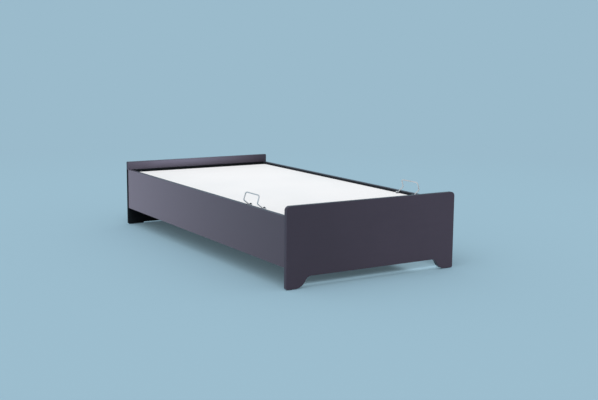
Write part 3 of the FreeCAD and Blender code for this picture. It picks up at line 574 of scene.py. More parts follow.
@dataclass(frozen=True)
class Lacquer(BoardFinish):
    """Satin lacquer on a straight board, rubbed at its edges, with painted shade in black on the side of the storage
    box.
    """

    run: Run
    inward: Point
    look: BoardLook
    level_blur: float = 0.0004
    edge_width: float = 0.0032
    rub_share: float = 0.12
    pore_share: float = 0.12
    dust_amount: float = 0.1
    dust_colour: Colour = srgb(168, 172, 178)
    swing: float = 0.05
    coat: float = 0.1
    peel_height: float = 0.00006
    pore_depth: float = 0.00005

    def inside(self, board: NodeBoard, place: Socket, ends: Socket) -> Socket:
        """Give the mask of the painted shade: the inner face, and a share of the ends, up to the shade's top.

        Args:
            board: The material's board.
            place: The surface's place.
            ends: The mask of the board's ends.

        Returns:
            The mask's socket.
        """
        top = self.look.painted_shade_top
        below = board.fall(board.split(place)[2], top - self.level_blur, top + self.level_blur)
        inner = board.rise(board.vector_number("DOT_PRODUCT", board.normal(), self.inward), 0.6, 0.8)
        return board.product(below, board.maths("MAXIMUM", inner, board.product(ends, self.look.painted_shade_ends)))

    def paint(self, board: NodeBoard, shader: Node) -> None:
        """Build the lacquer's tone, its painted shade inside, its painted light and shade on ends and top, rubbed
        edges and slight texture.

        Args:
            board: The material's board.
            shader: Its surface shader.
        """
        place = board.place()
        clouds = board.group(CLOUDS, Place=place, Scale=2.3, Tooth=420.0)
        grain = board.group(GRAIN, Place=board.turned(place, self.run), Scale=1.4)
        edges = self.edges(board, place, self.edge_width)
        tone = board.mix(clouds.outputs["Clouds"], self.tint(0.94), self.tint(1.06))
        tone = board.veil(grain.outputs["Fibre"], self.pore_share, tone, self.tint(0.7))
        # Painted light and shade: the top and the end faces take their own factor on the tone, the footboard's ends
        # lighter and its top darker
        tone = board.mix(edges.outputs["Rim"], tone, self.tint(self.look.top_painted_shade))
        tone = board.mix(edges.outputs["Side"], tone, self.tint(self.look.end_painted_light))
        tone = board.veil(edges.outputs["Edge"], self.rub_share, tone, self.tint(2.4))
        tone = self.dusted(board, place, tone, self.dust_amount, self.dust_colour)
        # Painted shade: below the shade's top, the box side is made near-black, matt and uncoated, standing in for
        # the shade in the gaps round the base
        inside = self.inside(board, place, edges.outputs["Side"])
        painted_shade_tone = board.mix(grain.outputs["Fibre"], shaded(self.look.black, 1.3), shaded(self.look.black, 0.7))
        board.feed(shader.inputs["Base Color"], board.mix(inside, tone, painted_shade_tone))
        worn = self.swung_roughness(board, clouds.outputs["Tooth"], self.swing)
        board.feed(shader.inputs["Roughness"], board.maths("MAXIMUM", worn, inside))
        board.feed(shader.inputs["Coat Weight"], board.spread(inside, 0.0, 1.0, self.coat, 0.0))
        shader.inputs["Coat Roughness"].default_value = 0.24
        shader.inputs["IOR"].default_value = 1.38
        peel = board.bump(clouds.outputs["Tooth"], self.peel_height)
        board.feed(shader.inputs["Normal"], board.bump(grain.outputs["Fibre"], self.pore_depth, 0.6, peel))


@dataclass(frozen=True)
class Laminate(BoardFinish):
    """White melamine on board, with a fine pebbled face and edge bands."""

    band_width: float = 0.0026
    band_share: float = 0.35
    band_colour: Colour = srgb(196, 197, 199)
    scuff_share: float = 0.05
    scuff_colour: Colour = srgb(178, 180, 184)
    swing: float = 0.05
    pebble_height: float = 0.00003

    def paint(self, board: NodeBoard, shader: Node) -> None:
        """Build the white face, its pebble, its bands and light rub marks.

        Args:
            board: The material's board.
            shader: Its surface shader.
        """
        place = board.place()
        clouds = board.group(CLOUDS, Place=place, Scale=1.7, Tooth=520.0)
        cells = board.group(CELLS, Place=place, Scale=900.0)
        edges = self.edges(board, place, self.band_width)
        tone = board.mix(clouds.outputs["Clouds"], self.tint(0.975), self.colour)
        tone = board.veil(edges.outputs["Edge"], self.band_share, tone, self.band_colour)
        rubs = board.noise(board.stretched(place, (1.5, 7.0, 7.0), (0.0, 0.0, 0.6)), 6.0, detail=6.0, roughness=0.75)
        scuffs = board.spread(rubs, 0.62, 0.78, 0.0, self.scuff_share)
        board.feed(shader.inputs["Base Color"], board.mix(scuffs, tone, self.scuff_colour))
        board.feed(shader.inputs["Roughness"], self.swung_roughness(board, clouds.outputs["Clouds"], self.swing))
        shader.inputs["IOR"].default_value = 1.2
        pebble = board.bump(cells.outputs["Tone"], self.pebble_height)
        board.feed(shader.inputs["Normal"], board.bump(clouds.outputs["Tooth"], self.pebble_height, 1.0, pebble))


@dataclass(frozen=True)
class Timber(Finish):
    """Planed softwood with its grain along or across the bed."""

    run: Run
    fibre_share: float = 0.45
    knot_share: float = 0.8
    knot_colour: Colour = srgb(92, 58, 34)
    cloud_share: float = 0.25
    dust_amount: float = 0.12
    dust_colour: Colour = srgb(200, 196, 188)
    swing: float = 0.08
    fibre_height: float = 0.0002

    def paint(self, board: NodeBoard, shader: Node) -> None:
        """Build the growth lines, fibres, knots and handling marks.

        Args:
            board: The material's board.
            shader: Its surface shader.
        """
        place = board.place()
        grain = board.group(GRAIN, Place=board.turned(place, self.run), Scale=1.6)
        clouds = board.group(CLOUDS, Place=place, Scale=5.0, Tooth=160.0)
        tone = board.mix(grain.outputs["Lines"], self.colour, self.tint(0.7))
        tone = board.veil(grain.outputs["Fibre"], self.fibre_share, tone, self.tint(0.55))
        tone = board.veil(grain.outputs["Knots"], self.knot_share, tone, self.knot_colour)
        tone = board.veil(clouds.outputs["Clouds"], self.cloud_share, tone, self.tint(1.15))
        tone = self.dusted(board, place, tone, self.dust_amount, self.dust_colour)
        board.feed(shader.inputs["Base Color"], tone)
        board.feed(shader.inputs["Roughness"], self.swung_roughness(board, grain.outputs["Fibre"], self.swing))
        board.feed(shader.inputs["Normal"], board.bump(grain.outputs["Fibre"], self.fibre_height, 0.8))


@dataclass(frozen=True)
class PressedBoard(Finish):
    """Smooth brown hardboard with fine flakes."""

    flake_share: float = 0.3
    fleck_share: float = 0.18
    dust_amount: float = 0.16
    dust_colour: Colour = srgb(190, 184, 176)
    swing: float = 0.07
    flake_height: float = 0.00005

    def paint(self, board: NodeBoard, shader: Node) -> None:
        """Build the flakes, the slow stains and the dust.

        Args:
            board: The material's board.
            shader: Its surface shader.
        """
        place = board.place()
        clouds = board.group(CLOUDS, Place=place, Scale=3.0, Tooth=110.0)
        flakes = board.group(CELLS, Place=board.stretched(place, (1.0, 0.45, 1.0)), Scale=420.0)
        tone = board.mix(clouds.outputs["Clouds"], self.tint(0.86), self.tint(1.12))
        tone = board.veil(flakes.outputs["Tone"], self.flake_share, tone, self.tint(0.55))
        tone = board.veil(clouds.outputs["Tooth"], self.fleck_share, tone, self.tint(1.5))
        tone = self.dusted(board, place, tone, self.dust_amount, self.dust_colour)
        board.feed(shader.inputs["Base Color"], tone)
        board.feed(shader.inputs["Roughness"], self.swung_roughness(board, clouds.outputs["Tooth"], self.swing))
        board.feed(shader.inputs["Normal"], board.bump(flakes.outputs["Tone"], self.flake_height))


@dataclass(frozen=True)
class CoatedSteel(Finish):
    """Steel under a baked powder coat, or under smooth paint where the peel is low."""

    peel_height: float
    coat: float
    chip_share: float = 0.5
    dust_amount: float = 0.08
    dust_colour: Colour = srgb(160, 162, 166)
    swing: float = 0.05

    def paint(self, board: NodeBoard, shader: Node) -> None:
        """Build the coat's peel, its slight clouds, chips and dust.

        Args:
            board: The material's board.
            shader: Its surface shader.
        """
        place = board.place()
        clouds = board.group(CLOUDS, Place=place, Scale=9.0, Tooth=95.0)
        tone = board.mix(clouds.outputs["Clouds"], self.tint(0.9), self.tint(1.12))
        chips = board.noise(place, 240.0, detail=2.0, roughness=0.6)
        tone = board.mix(board.spread(chips, 0.72, 0.76, 0.0, self.chip_share), tone, self.tint(1.7))
        tone = self.dusted(board, place, tone, self.dust_amount, self.dust_colour)
        board.feed(shader.inputs["Base Color"], tone)
        board.feed(shader.inputs["Roughness"], self.swung_roughness(board, clouds.outputs["Clouds"], self.swing))
        shader.inputs["Coat Weight"].default_value = self.coat
        shader.inputs["Coat Roughness"].default_value = 0.12
        board.feed(shader.inputs["Normal"], board.bump(clouds.outputs["Tooth"], self.peel_height))


@dataclass(frozen=True)
class Zinc(Finish):
    """Bright zinc plating with a fine spangle and duller patches."""

    spangle_share: float = 0.35
    haze_share: float = 0.25
    haze_colour: Colour = srgb(214, 206, 182)
    swing: float = 0.09
    spangle_height: float = 0.00001

    def paint(self, board: NodeBoard, shader: Node) -> None:
        """Build the spangle, the patches and the handling haze.

        Args:
            board: The material's board.
            shader: Its surface shader.
        """
        place = board.place()
        cells = board.group(CELLS, Place=place, Scale=650.0)
        clouds = board.group(CLOUDS, Place=place, Scale=40.0, Tooth=30.0)
        tone = board.veil(cells.outputs["Tone"], self.spangle_share, self.colour, self.tint(0.7))
        tone = board.veil(clouds.outputs["Clouds"], self.haze_share, tone, self.haze_colour)
        board.feed(shader.inputs["Base Color"], tone)
        shader.inputs["Metallic"].default_value = 1.0
        board.feed(shader.inputs["Roughness"], self.swung_roughness(board, clouds.outputs["Clouds"], self.swing))
        board.feed(shader.inputs["Normal"], board.bump(cells.outputs["Tone"], self.spangle_height))


@dataclass(frozen=True)
class GroundRod(Finish):
    """Hard chrome on a ground rod, with a trace of oil film."""

    film_share: float = 0.3
    swing: float = 0.04
    grinding_height: float = 0.000003

    def paint(self, board: NodeBoard, shader: Node) -> None:
        """Build the grinding marks and the film.

        Args:
            board: The material's board.
            shader: Its surface shader.
        """
        clouds = board.group(CLOUDS, Place=board.place(), Scale=60.0, Tooth=40.0)
        film = board.veil(clouds.outputs["Clouds"], self.film_share, self.colour, self.tint(0.8))
        board.feed(shader.inputs["Base Color"], film)
        shader.inputs["Metallic"].default_value = 1.0
        board.feed(shader.inputs["Roughness"], self.swung_roughness(board, clouds.outputs["Clouds"], self.swing))
        board.feed(shader.inputs["Normal"], board.bump(clouds.outputs["Tooth"], self.grinding_height))


@dataclass(frozen=True)
class Moulded(Finish):
    """Moulded plastic or rubber with a fine spark-eroded grain."""

    grain_height: float
    dust_amount: float = 0.14
    dust_colour: Colour = srgb(150, 150, 152)
    swing: float = 0.06

    def paint(self, board: NodeBoard, shader: Node) -> None:
        """Build the grain, the flow clouds and the dust.

        Args:
            board: The material's board.
            shader: Its surface shader.
        """
        place = board.place()
        clouds = board.group(CLOUDS, Place=place, Scale=18.0, Tooth=70.0)
        cells = board.group(CELLS, Place=place, Scale=1500.0)
        tone = board.mix(clouds.outputs["Clouds"], self.tint(0.88), self.tint(1.15))
        tone = self.dusted(board, place, tone, self.dust_amount, self.dust_colour)
        board.feed(shader.inputs["Base Color"], tone)
        board.feed(shader.inputs["Roughness"], self.swung_roughness(board, clouds.outputs["Tooth"], self.swing))
        board.feed(shader.inputs["Normal"], board.bump(cells.outputs["Tone"], self.grain_height))


LACQUER_COLOUR = srgb(66, 55, 67)
LACQUER_ROUGHNESS = 0.4
# Painted shade: the near-black that stands in for the shade inside the storage box
BOX_PAINTED_SHADE = srgb(38, 42, 49)
PINE_ALONG = Timber("pine along the bed", srgb(206, 172, 124), 0.6, run=Run.ALONG)
PINE_ACROSS = Timber("pine across the bed", srgb(202, 168, 120), 0.6, run=Run.ACROSS)
HARDBOARD = PressedBoard("brown hardboard", srgb(146, 110, 78), 0.5)
BLACK_COAT = CoatedSteel("black powder coat", srgb(46, 47, 51), 0.42, peel_height=0.00004, coat=0.15)
BLACK_PAINT = CoatedSteel("smooth black paint", srgb(35, 35, 39), 0.25, peel_height=0.000008, coat=0.6)
GREY_COAT = CoatedSteel("pale grey wire coat", srgb(202, 208, 213), 0.5, peel_height=0.00001, coat=0.1)
ZINC_PLATE = Zinc("zinc plate", srgb(196, 199, 203), 0.34)
CHROME = GroundRod("ground chrome", srgb(222, 224, 226), 0.12)
BLACK_MOULDED = Moulded("black moulded plastic", srgb(30, 30, 33), 0.42, grain_height=0.00002)
GREY_MOULDED = Moulded("grey moulded plastic", srgb(112, 114, 118), 0.45, grain_height=0.00002)
RUBBER = Moulded("pad rubber", srgb(40, 40, 42), 0.7, grain_height=0.00003)


# Modelling steps

def leave_edit() -> None:
    """Go back to object mode."""
    bpy.ops.object.mode_set(mode="OBJECT")


def clear_selection() -> None:
    """Leave edit mode and select nothing."""
    if bpy.context.object is not None and bpy.context.object.mode != "OBJECT":
        leave_edit()
    bpy.ops.object.select_all(action="DESELECT")


def pick(piece: Piece) -> None:
    """Select one object alone and make it the active one.

    Args:
        piece: The object.
    """
    clear_selection()
    piece.select_set(True)
    bpy.context.view_layer.objects.active = piece


def settle(piece: Piece) -> Piece:
    """Put an object's place, turn and size into its mesh.

    Args:
        piece: The object.

    Returns:
        The object.
    """
    pick(piece)
    bpy.ops.object.transform_apply(location=True, rotation=True, scale=True)
    return piece


def edit(piece: Piece, mode: str = "FACE", action: str = "DESELECT") -> None:
    """Enter edit mode with nothing or everything selected.

    Args:
        piece: The object to shape.
        mode: What is selected there: VERT, EDGE or FACE.
        action: DESELECT for nothing, SELECT for everything.
    """
    pick(piece)
    bpy.ops.object.mode_set(mode="EDIT")
    bpy.ops.mesh.select_mode(type=mode)
    bpy.ops.mesh.select_all(action=action)


def edit_faces(piece: Piece, test: Callable[[Vector, Vector], bool]) -> None:
    """Enter edit mode with chosen faces selected.

    Args:
        piece: The object to shape.
        test: Says from a face's middle and normal whether it is chosen.
    """
    edit(piece, "FACE")
    leave_edit()
    for face in piece.data.polygons:
        face.select = test(face.center, face.normal)
    bpy.ops.object.mode_set(mode="EDIT")


def edit_points(piece: Piece, test: Callable[[Vector], bool]) -> None:
    """Enter edit mode with chosen points selected.

    Args:
        piece: The object to shape.
        test: Says from a point's place whether it is chosen.
    """
    edit(piece, "VERT")
    leave_edit()
    for point in piece.data.vertices:
        point.select = test(point.co)
    bpy.ops.object.mode_set(mode="EDIT")


def extrude(step: Point) -> None:
    """Extrude the selected faces by a step."""
    bpy.ops.mesh.extrude_region_move(TRANSFORM_OT_translate={"value": step})


def widen(ratio: float, height: float) -> None:
    """Scale what is selected across Z, about the axis at a height."""
    bpy.ops.transform.resize(value=(ratio, ratio, 1), center_override=(0, 0, height))


def face_outward() -> None:
    """Select the whole mesh in edit mode, turn its faces outward and leave edit mode."""
    bpy.ops.mesh.select_all(action="SELECT")
    bpy.ops.mesh.normals_make_consistent(inside=False)
    leave_edit()


def turned(steps: Sequence[Pair], sides: int = 32) -> Piece:
    """Raise a round piece along Z from a disc.

    Args:
        steps: The radius and height of each step, from the first disc on.
        sides: How many sides it has.

    Returns:
        The piece, closed by a flat face at each end.
    """
    radius, height = steps[0]
    clear_selection()
    bpy.ops.mesh.primitive_circle_add(vertices=sides, radius=radius, fill_type="NGON", location=(0, 0, height))
    piece = settle(bpy.context.object)
    edit_faces(piece, lambda middle, normal: True)
    for next_radius, next_height in steps[1:]:
        extrude((0, 0, next_height - height))
        widen(next_radius / radius, next_height)
        radius, height = next_radius, next_height
    face_outward()
    return piece


def raised(profile: Iterable[Pair], height: float) -> list[Pair]:
    """Give a profile's steps with their heights counted from another height."""
    return [(radius, height + rise) for radius, rise in profile]


def block(low: Point, high: Point) -> Piece:
    """Add a block between two corners.

    Args:
        low: Its lowest corner.
        high: Its highest corner.

    Returns:
        The block.
    """
    clear_selection()
    middle = [(first + last) / 2 for first, last in zip(low, high)]
    size = [last - first for first, last in zip(low, high)]
    bpy.ops.mesh.primitive_cube_add(size=1, location=middle, scale=size)
    return settle(bpy.context.object)


def soften(piece: Piece, width: float, segments: int = 2, angle: float = 40.0) -> Piece:
    """Round a piece's sharp edges.

    Args:
        piece: The piece.
        width: How far the rounding reaches.
        segments: Its steps.
        angle: The least angle between faces, in degrees, at which an edge is rounded.

    Returns:
        The piece.
    """
    pick(piece)
    bevel = piece.modifiers.new("soft edges", "BEVEL")
    bevel.width = width
    bevel.segments = segments
    bevel.limit_method = "ANGLE"
    bevel.angle_limit = math.radians(angle)
    bpy.ops.object.modifier_apply(modifier=bevel.name)
    return piece


def aimed(place: Point, way: Point) -> Matrix:
    """Give the matrix that turns +Z to a direction and moves to a place."""
    return Matrix.Translation(place) @ Vector(way).to_track_quat("Z", "Y").to_matrix().to_4x4()


def joined(pieces: Sequence[Piece]) -> Piece:
    """Join pieces into the first one.

    Args:
        pieces: The pieces.

    Returns:
        The first piece, with all the meshes.
    """
    clear_selection()
    for piece in pieces:
        piece.select_set(True)
    bpy.context.view_layer.objects.active = pieces[0]
    if len(pieces) > 1:
        bpy.ops.object.join()
    return pieces[0]


def repeated(model: Piece, places: Iterable[Matrix]) -> Piece:
    """Copy a model to its places, each copy with its own mesh, and join the copies.

    Args:
        model: The piece made once, which is removed afterwards.
        places: The matrix of each copy.

    Returns:
        The joined copies.
    """
    copies = []
    for place in places:
        pick(model)
        bpy.ops.object.duplicate(linked=False)
        copy = bpy.context.object
        copy.matrix_world = place @ copy.matrix_world
        copies.append(settle(copy))
    pick(model)
    bpy.ops.object.delete()
    return joined(copies)


def scattered(model: Piece, places: Iterable[Matrix]) -> Piece:
    """Copy a small model to hundreds of places without an operator for each copy, and join the copies.

    Args:
        model: The piece made once, which is removed afterwards.
        places: The matrix of each copy.

    Returns:
        The joined copies.
    """
    copies = []
    for place in places:
        copy = model.copy()
        copy.data = model.data.copy()
        copy.matrix_world = place @ model.matrix_world
        bpy.context.scene.collection.objects.link(copy)
        copies.append(copy)
    pick(model)
    bpy.ops.object.delete()
    return settle(joined(copies))


def complete(piece: Piece, name: str, finish: Finish, body: str,
             replaced: Sequence[str] = (), angle: float = 35.0) -> None:
    """Name, shade, dress and seat a finished piece.

    Args:
        piece: The piece, with its place in its mesh.
        name: Its name.
        finish: What it is dressed in.
        body: The body it rides on.
        replaced: The nodes it stands for.
        angle: The angle, in degrees, up to which its faces shade as one.
    """
    edit(piece, action="SELECT")
    bpy.ops.mesh.remove_doubles(threshold=0.000002)
    leave_edit()
    pick(piece)
    bpy.ops.object.shade_smooth_by_angle(angle=math.radians(angle))
    piece.name = name
    piece.data.name = name
    piece.data.materials.clear()
    piece.data.materials.append(finish.material())
    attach(piece, body)
    if replaced:
        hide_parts(*replaced)
    log.info("%s rides on %s", name, body)


def dress(frame: Frame, finish: Finish, *names: str) -> None:
    """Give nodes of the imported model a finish.

    Args:
        frame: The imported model.
        finish: Their finish.
        names: The nodes.
    """
    for name in names:
        for part in frame["nodes"][name].material_slots:
            part.material = finish.material()
        log.info("%s is dressed in %s", name, finish.name)


# Screws and rivets

@dataclass(frozen=True)
class Seat:
    """Where a fastener sits, and the way its head looks."""

    place: Point
    way: Point

    def mirrored(self, signs: Point) -> "Seat":
        """Give the seat's mirror image, with each axis times its sign."""
        place, way = (tuple(part * sign for part, sign in zip(point, signs)) for point in (self.place, self.way))
        return Seat(place, way)


def with_mirrored(seats: Sequence[Seat], signs: Point) -> list[Seat]:
    """Add to the seats the mirror image of each."""
    return [*seats, *(seat.mirrored(signs) for seat in seats)]


@dataclass(frozen=True)
class SocketScrew:
    """A screw with a domed or flat head and a recess, its head's outer side towards +Z.

    The shares of the head are steps across and up its profile.
    """

    head_radius: float
    head_height: float
    shank_radius: float
    length: float
    recess: Recess
    recess_radius: float
    domed: bool = True
    sides: int = 24
    tip_share: float = 0.55
    dome_shares: tuple[Pair, ...] = ((1.0, 0.0), (1.0, 0.22), (0.93, 0.52), (0.78, 0.8), (0.6, 0.96), (0.5, 1.0))
    flat_shares: tuple[Pair, ...] = ((0.97, -0.06), (1.0, 0.0))
    depth_share: float = 0.55
    floor_share: float = 0.86

    def model(self) -> Piece:
        """Build the screw with the joint face of its head at zero.

        Returns:
            The screw.
        """
        shank, across, up = self.shank_radius, self.head_radius, self.head_height
        root, shares = (0.0, self.dome_shares) if self.domed else (-up, self.flat_shares)
        head = [(across * out, up * rise) for out, rise in shares]
        screw = turned([(shank * self.tip_share, -self.length), (shank, -self.length + shank), (shank, root), *head],
                       self.sides)
        return self.sink(screw, *head[-1])

    def sink(self, screw: Piece, face_radius: float, height: float) -> Piece:
        """Sink the recess into the head's end face.

        Args:
            screw: The screw so far.
            face_radius: The radius of its end face.
            height: The height of its end face.

        Returns:
            The screw.
        """
        def end_face(middle: Vector, normal: Vector) -> bool:
            """Say whether a face is the one in the middle of the head's end."""
            return normal.z > FACING and abs(middle.z - height) < NEAR and middle.xy.length < NEAR

        edit_faces(screw, end_face)
        bpy.ops.mesh.inset(thickness=face_radius - self.recess_radius)
        for index, reach in enumerate(self.recess.value):
            if reach != 1.0:
                edit_points(screw, lambda point, index=index: self.in_step(point, height, index))
                widen(reach, height)
        edit_faces(screw, end_face)
        depth = self.head_height * self.depth_share
        extrude((0, 0, -depth))
        widen(self.floor_share, height - depth)
        leave_edit()
        return screw

    def in_step(self, point: Vector, height: float, index: int) -> bool:
        """Say whether a point is on the recess's outline at one step of its pattern.

        Args:
            point: The point.
            height: The height of the head's end face.
            index: The step.

        Returns:
            Whether it is.
        """
        if abs(point.z - height) > NEAR or abs(point.xy.length - self.recess_radius) > NEAR:
            return False
        count = math.degrees(math.atan2(point.y, point.x)) % 360 / (360 / self.sides)
        return round(count) % len(self.recess.value) == index

    def at(self, seats: Iterable[Seat]) -> Piece:
        """Put the screw into its seats, as one piece."""
        return repeated(self.model(), [aimed(seat.place, seat.way) for seat in seats])


@dataclass(frozen=True)
class ShoulderRivet:
    """A rivet through a plate, with a flange, a bearing neck and a peened head.

    The shares of the peened head are steps across and up its profile.
    """

    shank_radius: float
    flange_radius: float
    shoulder: float
    bearing: float
    plate: float = STEEL_THICKNESS
    head: float = 0.003
    rim_round: float = 0.0004
    head_shares: tuple[Pair, ...] = ((0.97, 0.45), (0.82, 0.82), (0.6, 1.0), (0.42, 1.0), (0.34, 0.8), (0.12, 0.72))

    def model(self) -> Piece:
        """Build the rivet along Z from the far face of its plate.

        Returns:
            The rivet.
        """
        shank, flange, soft = self.shank_radius, self.flange_radius, self.rim_round
        low = self.plate
        neck = low + self.shoulder
        head = neck + self.bearing
        return turned([
            (shank, 0.0), (shank, low), (flange - soft, low), (flange, low + soft),
            (flange, neck - soft), (flange - soft, neck), (shank, neck),
            (shank, head), (flange - soft, head), (flange, head + soft),
            *((flange * out, head + self.head * rise) for out, rise in self.head_shares)])


FLAT_SCREW = SocketScrew(head_radius=0.0045, head_height=0.0025, shank_radius=0.00225, length=0.018,
                         recess=Recess.CROSS, recess_radius=0.0023, domed=False)


# The bed

class SubAssembly:
    """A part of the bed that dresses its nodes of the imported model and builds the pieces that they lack."""

    def dress(self, frame: Frame) -> None:
        """Give the part's nodes their finishes.

        Args:
            frame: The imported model.
        """
        raise NotImplementedError

    def build(self) -> None:
        """Build the part's own pieces; a part whose nodes are whole has none."""


@dataclass
class EndPanels(SubAssembly):
    """The lacquered headboard and footboard with their glides and dowels."""

    half_width: float = 0.49
    half_length: float = 0.975
    low: float = 0.002
    height: float = 0.39
    thickness: float = 0.022
    # The headboard's painted shade is darker and covers its end faces too; the footboard's end faces carry painted
    # light and its top painted shade
    looks: dict[End, BoardLook] = field(default_factory=lambda: {
        End.HEAD: BoardLook(black=srgb(15, 16, 20), painted_shade_top=RAIL_TOP, painted_shade_ends=1.0),
        End.FOOT: BoardLook(black=BOX_PAINTED_SHADE, painted_shade_top=RAIL_TOP, end_painted_light=1.35, top_painted_shade=0.6)})

    def finish(self, end: End) -> Lacquer:
        """Make the lacquer of one panel.

        Args:
            end: The panel's end.

        Returns:
            Its finish.
        """
        return Lacquer(
            "lacquer of the " + end.word + "board", LACQUER_COLOUR, LACQUER_ROUGHNESS,
            middle=(0.0, end.value * (self.half_length - self.thickness / 2), (self.height + self.low) / 2),
            half=(self.half_width, self.thickness / 2, (self.height - self.low) / 2),
            run=Run.ACROSS, inward=(0.0, -float(end.value), 0.0), look=self.looks[end])

    def dress(self, frame: Frame) -> None:
        """Dress the panels, glides and dowels.

        Args:
            frame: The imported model.
        """
        for end in End:
            dress(frame, self.finish(end), end.word + "board")
        dress(frame, BLACK_MOULDED, "foot_glides")
        dress(frame, PINE_ALONG, "rail_dowels")


@dataclass
class SideRails(SubAssembly):
    """The lacquered rails between the panels, with painted shade in black on their inner faces up to above their
    tops.
    """

    outer: float = 0.488
    thickness: float = 0.022
    half_length: float = PANEL_INNER
    low: float = 0.102
    high: float = RAIL_TOP
    # Painted shade in black on the inner faces of the rails
    look: BoardLook = BoardLook(black=BOX_PAINTED_SHADE, painted_shade_top=1.0)

    def finish(self, side: Side) -> Lacquer:
        """Make the lacquer of one rail.

        Args:
            side: The rail's side.

        Returns:
            Its finish.
        """
        return Lacquer(
            "lacquer of the " + side.word + " rail", LACQUER_COLOUR, LACQUER_ROUGHNESS,
            middle=(side.value * (self.outer - self.thickness / 2), 0.0, (self.low + self.high) / 2),
            half=(self.thickness / 2, self.half_length, (self.high - self.low) / 2),
            run=Run.ALONG, inward=(-float(side.value), 0.0, 0.0), look=self.look)

    def dress(self, frame: Frame) -> None:
        """Dress both rails."""
        for side in Side:
            dress(frame, self.finish(side), "side_rail_" + side.word)


@dataclass
class CornerJoints(SubAssembly):
    """The steel angles, their socket bolts and the pressed gussets in their corners."""

    inner: float = RAIL_INNER
    head_inner: float = PANEL_INNER
    thickness: float = STEEL_THICKNESS
    leg_place: float = 0.028
    heights: Pair = (0.162, 0.208)
    gusset_reach: float = 0.016
    gusset_width: float = 0.01
    gusset_height: float = 0.185
    gusset_round: float = 0.0028
    bolt: SocketScrew = SocketScrew(head_radius=0.006, head_height=0.004, shank_radius=0.003, length=0.018,
                                    recess=Recess.HEXAGON, recess_radius=0.0023)

    def dress(self, frame: Frame) -> None:
        """Dress the angles."""
        for end in End:
            dress(frame, BLACK_COAT, *nodes_of("corner_bracket_" + end.word + "_", Side))

    def build(self) -> None:
        """Build the bolts and the gussets."""
        seats = []
        for height in self.heights:
            seats += [Seat((self.inner - self.thickness, self.head_inner - self.leg_place, height), (-1.0, 0.0, 0.0)),
                      Seat((self.inner - self.leg_place, self.head_inner - self.thickness, height), (0.0, -1.0, 0.0))]
        bolts = self.bolt.at(with_mirrored(with_mirrored(seats, TO_OTHER_SIDE), TO_OTHER_END))
        complete(bolts, "bracket_socket_bolts", ZINC_PLATE, "bedstead", ("bracket_bolts",))
        complete(self.gussets(), "bracket_gussets", BLACK_COAT, "bedstead")

    def gussets(self) -> Piece:
        """Build the four pressed gussets, one in each angle's inner corner.

        Returns:
            The gussets as one piece.
        """
        sunk = self.thickness / 2
        reach = self.gusset_reach + sunk
        gusset = block((-reach, -reach, -self.gusset_width / 2), (0.0, 0.0, self.gusset_width / 2))
        edit(gusset, action="SELECT")
        bpy.ops.mesh.bisect(plane_co=(-reach, 0, 0), plane_no=(-1, -1, 0), use_fill=True, clear_outer=True)
        leave_edit()
        soften(gusset, self.gusset_round, segments=3)
        corner = Matrix.Translation((self.inner - sunk, self.head_inner - sunk, self.gusset_height))
        made = repeated(gusset, [Matrix.Diagonal((side.value, end.value, 1, 1)) @ corner
                                 for side in Side for end in End])
        edit(made)
        face_outward()
        return made


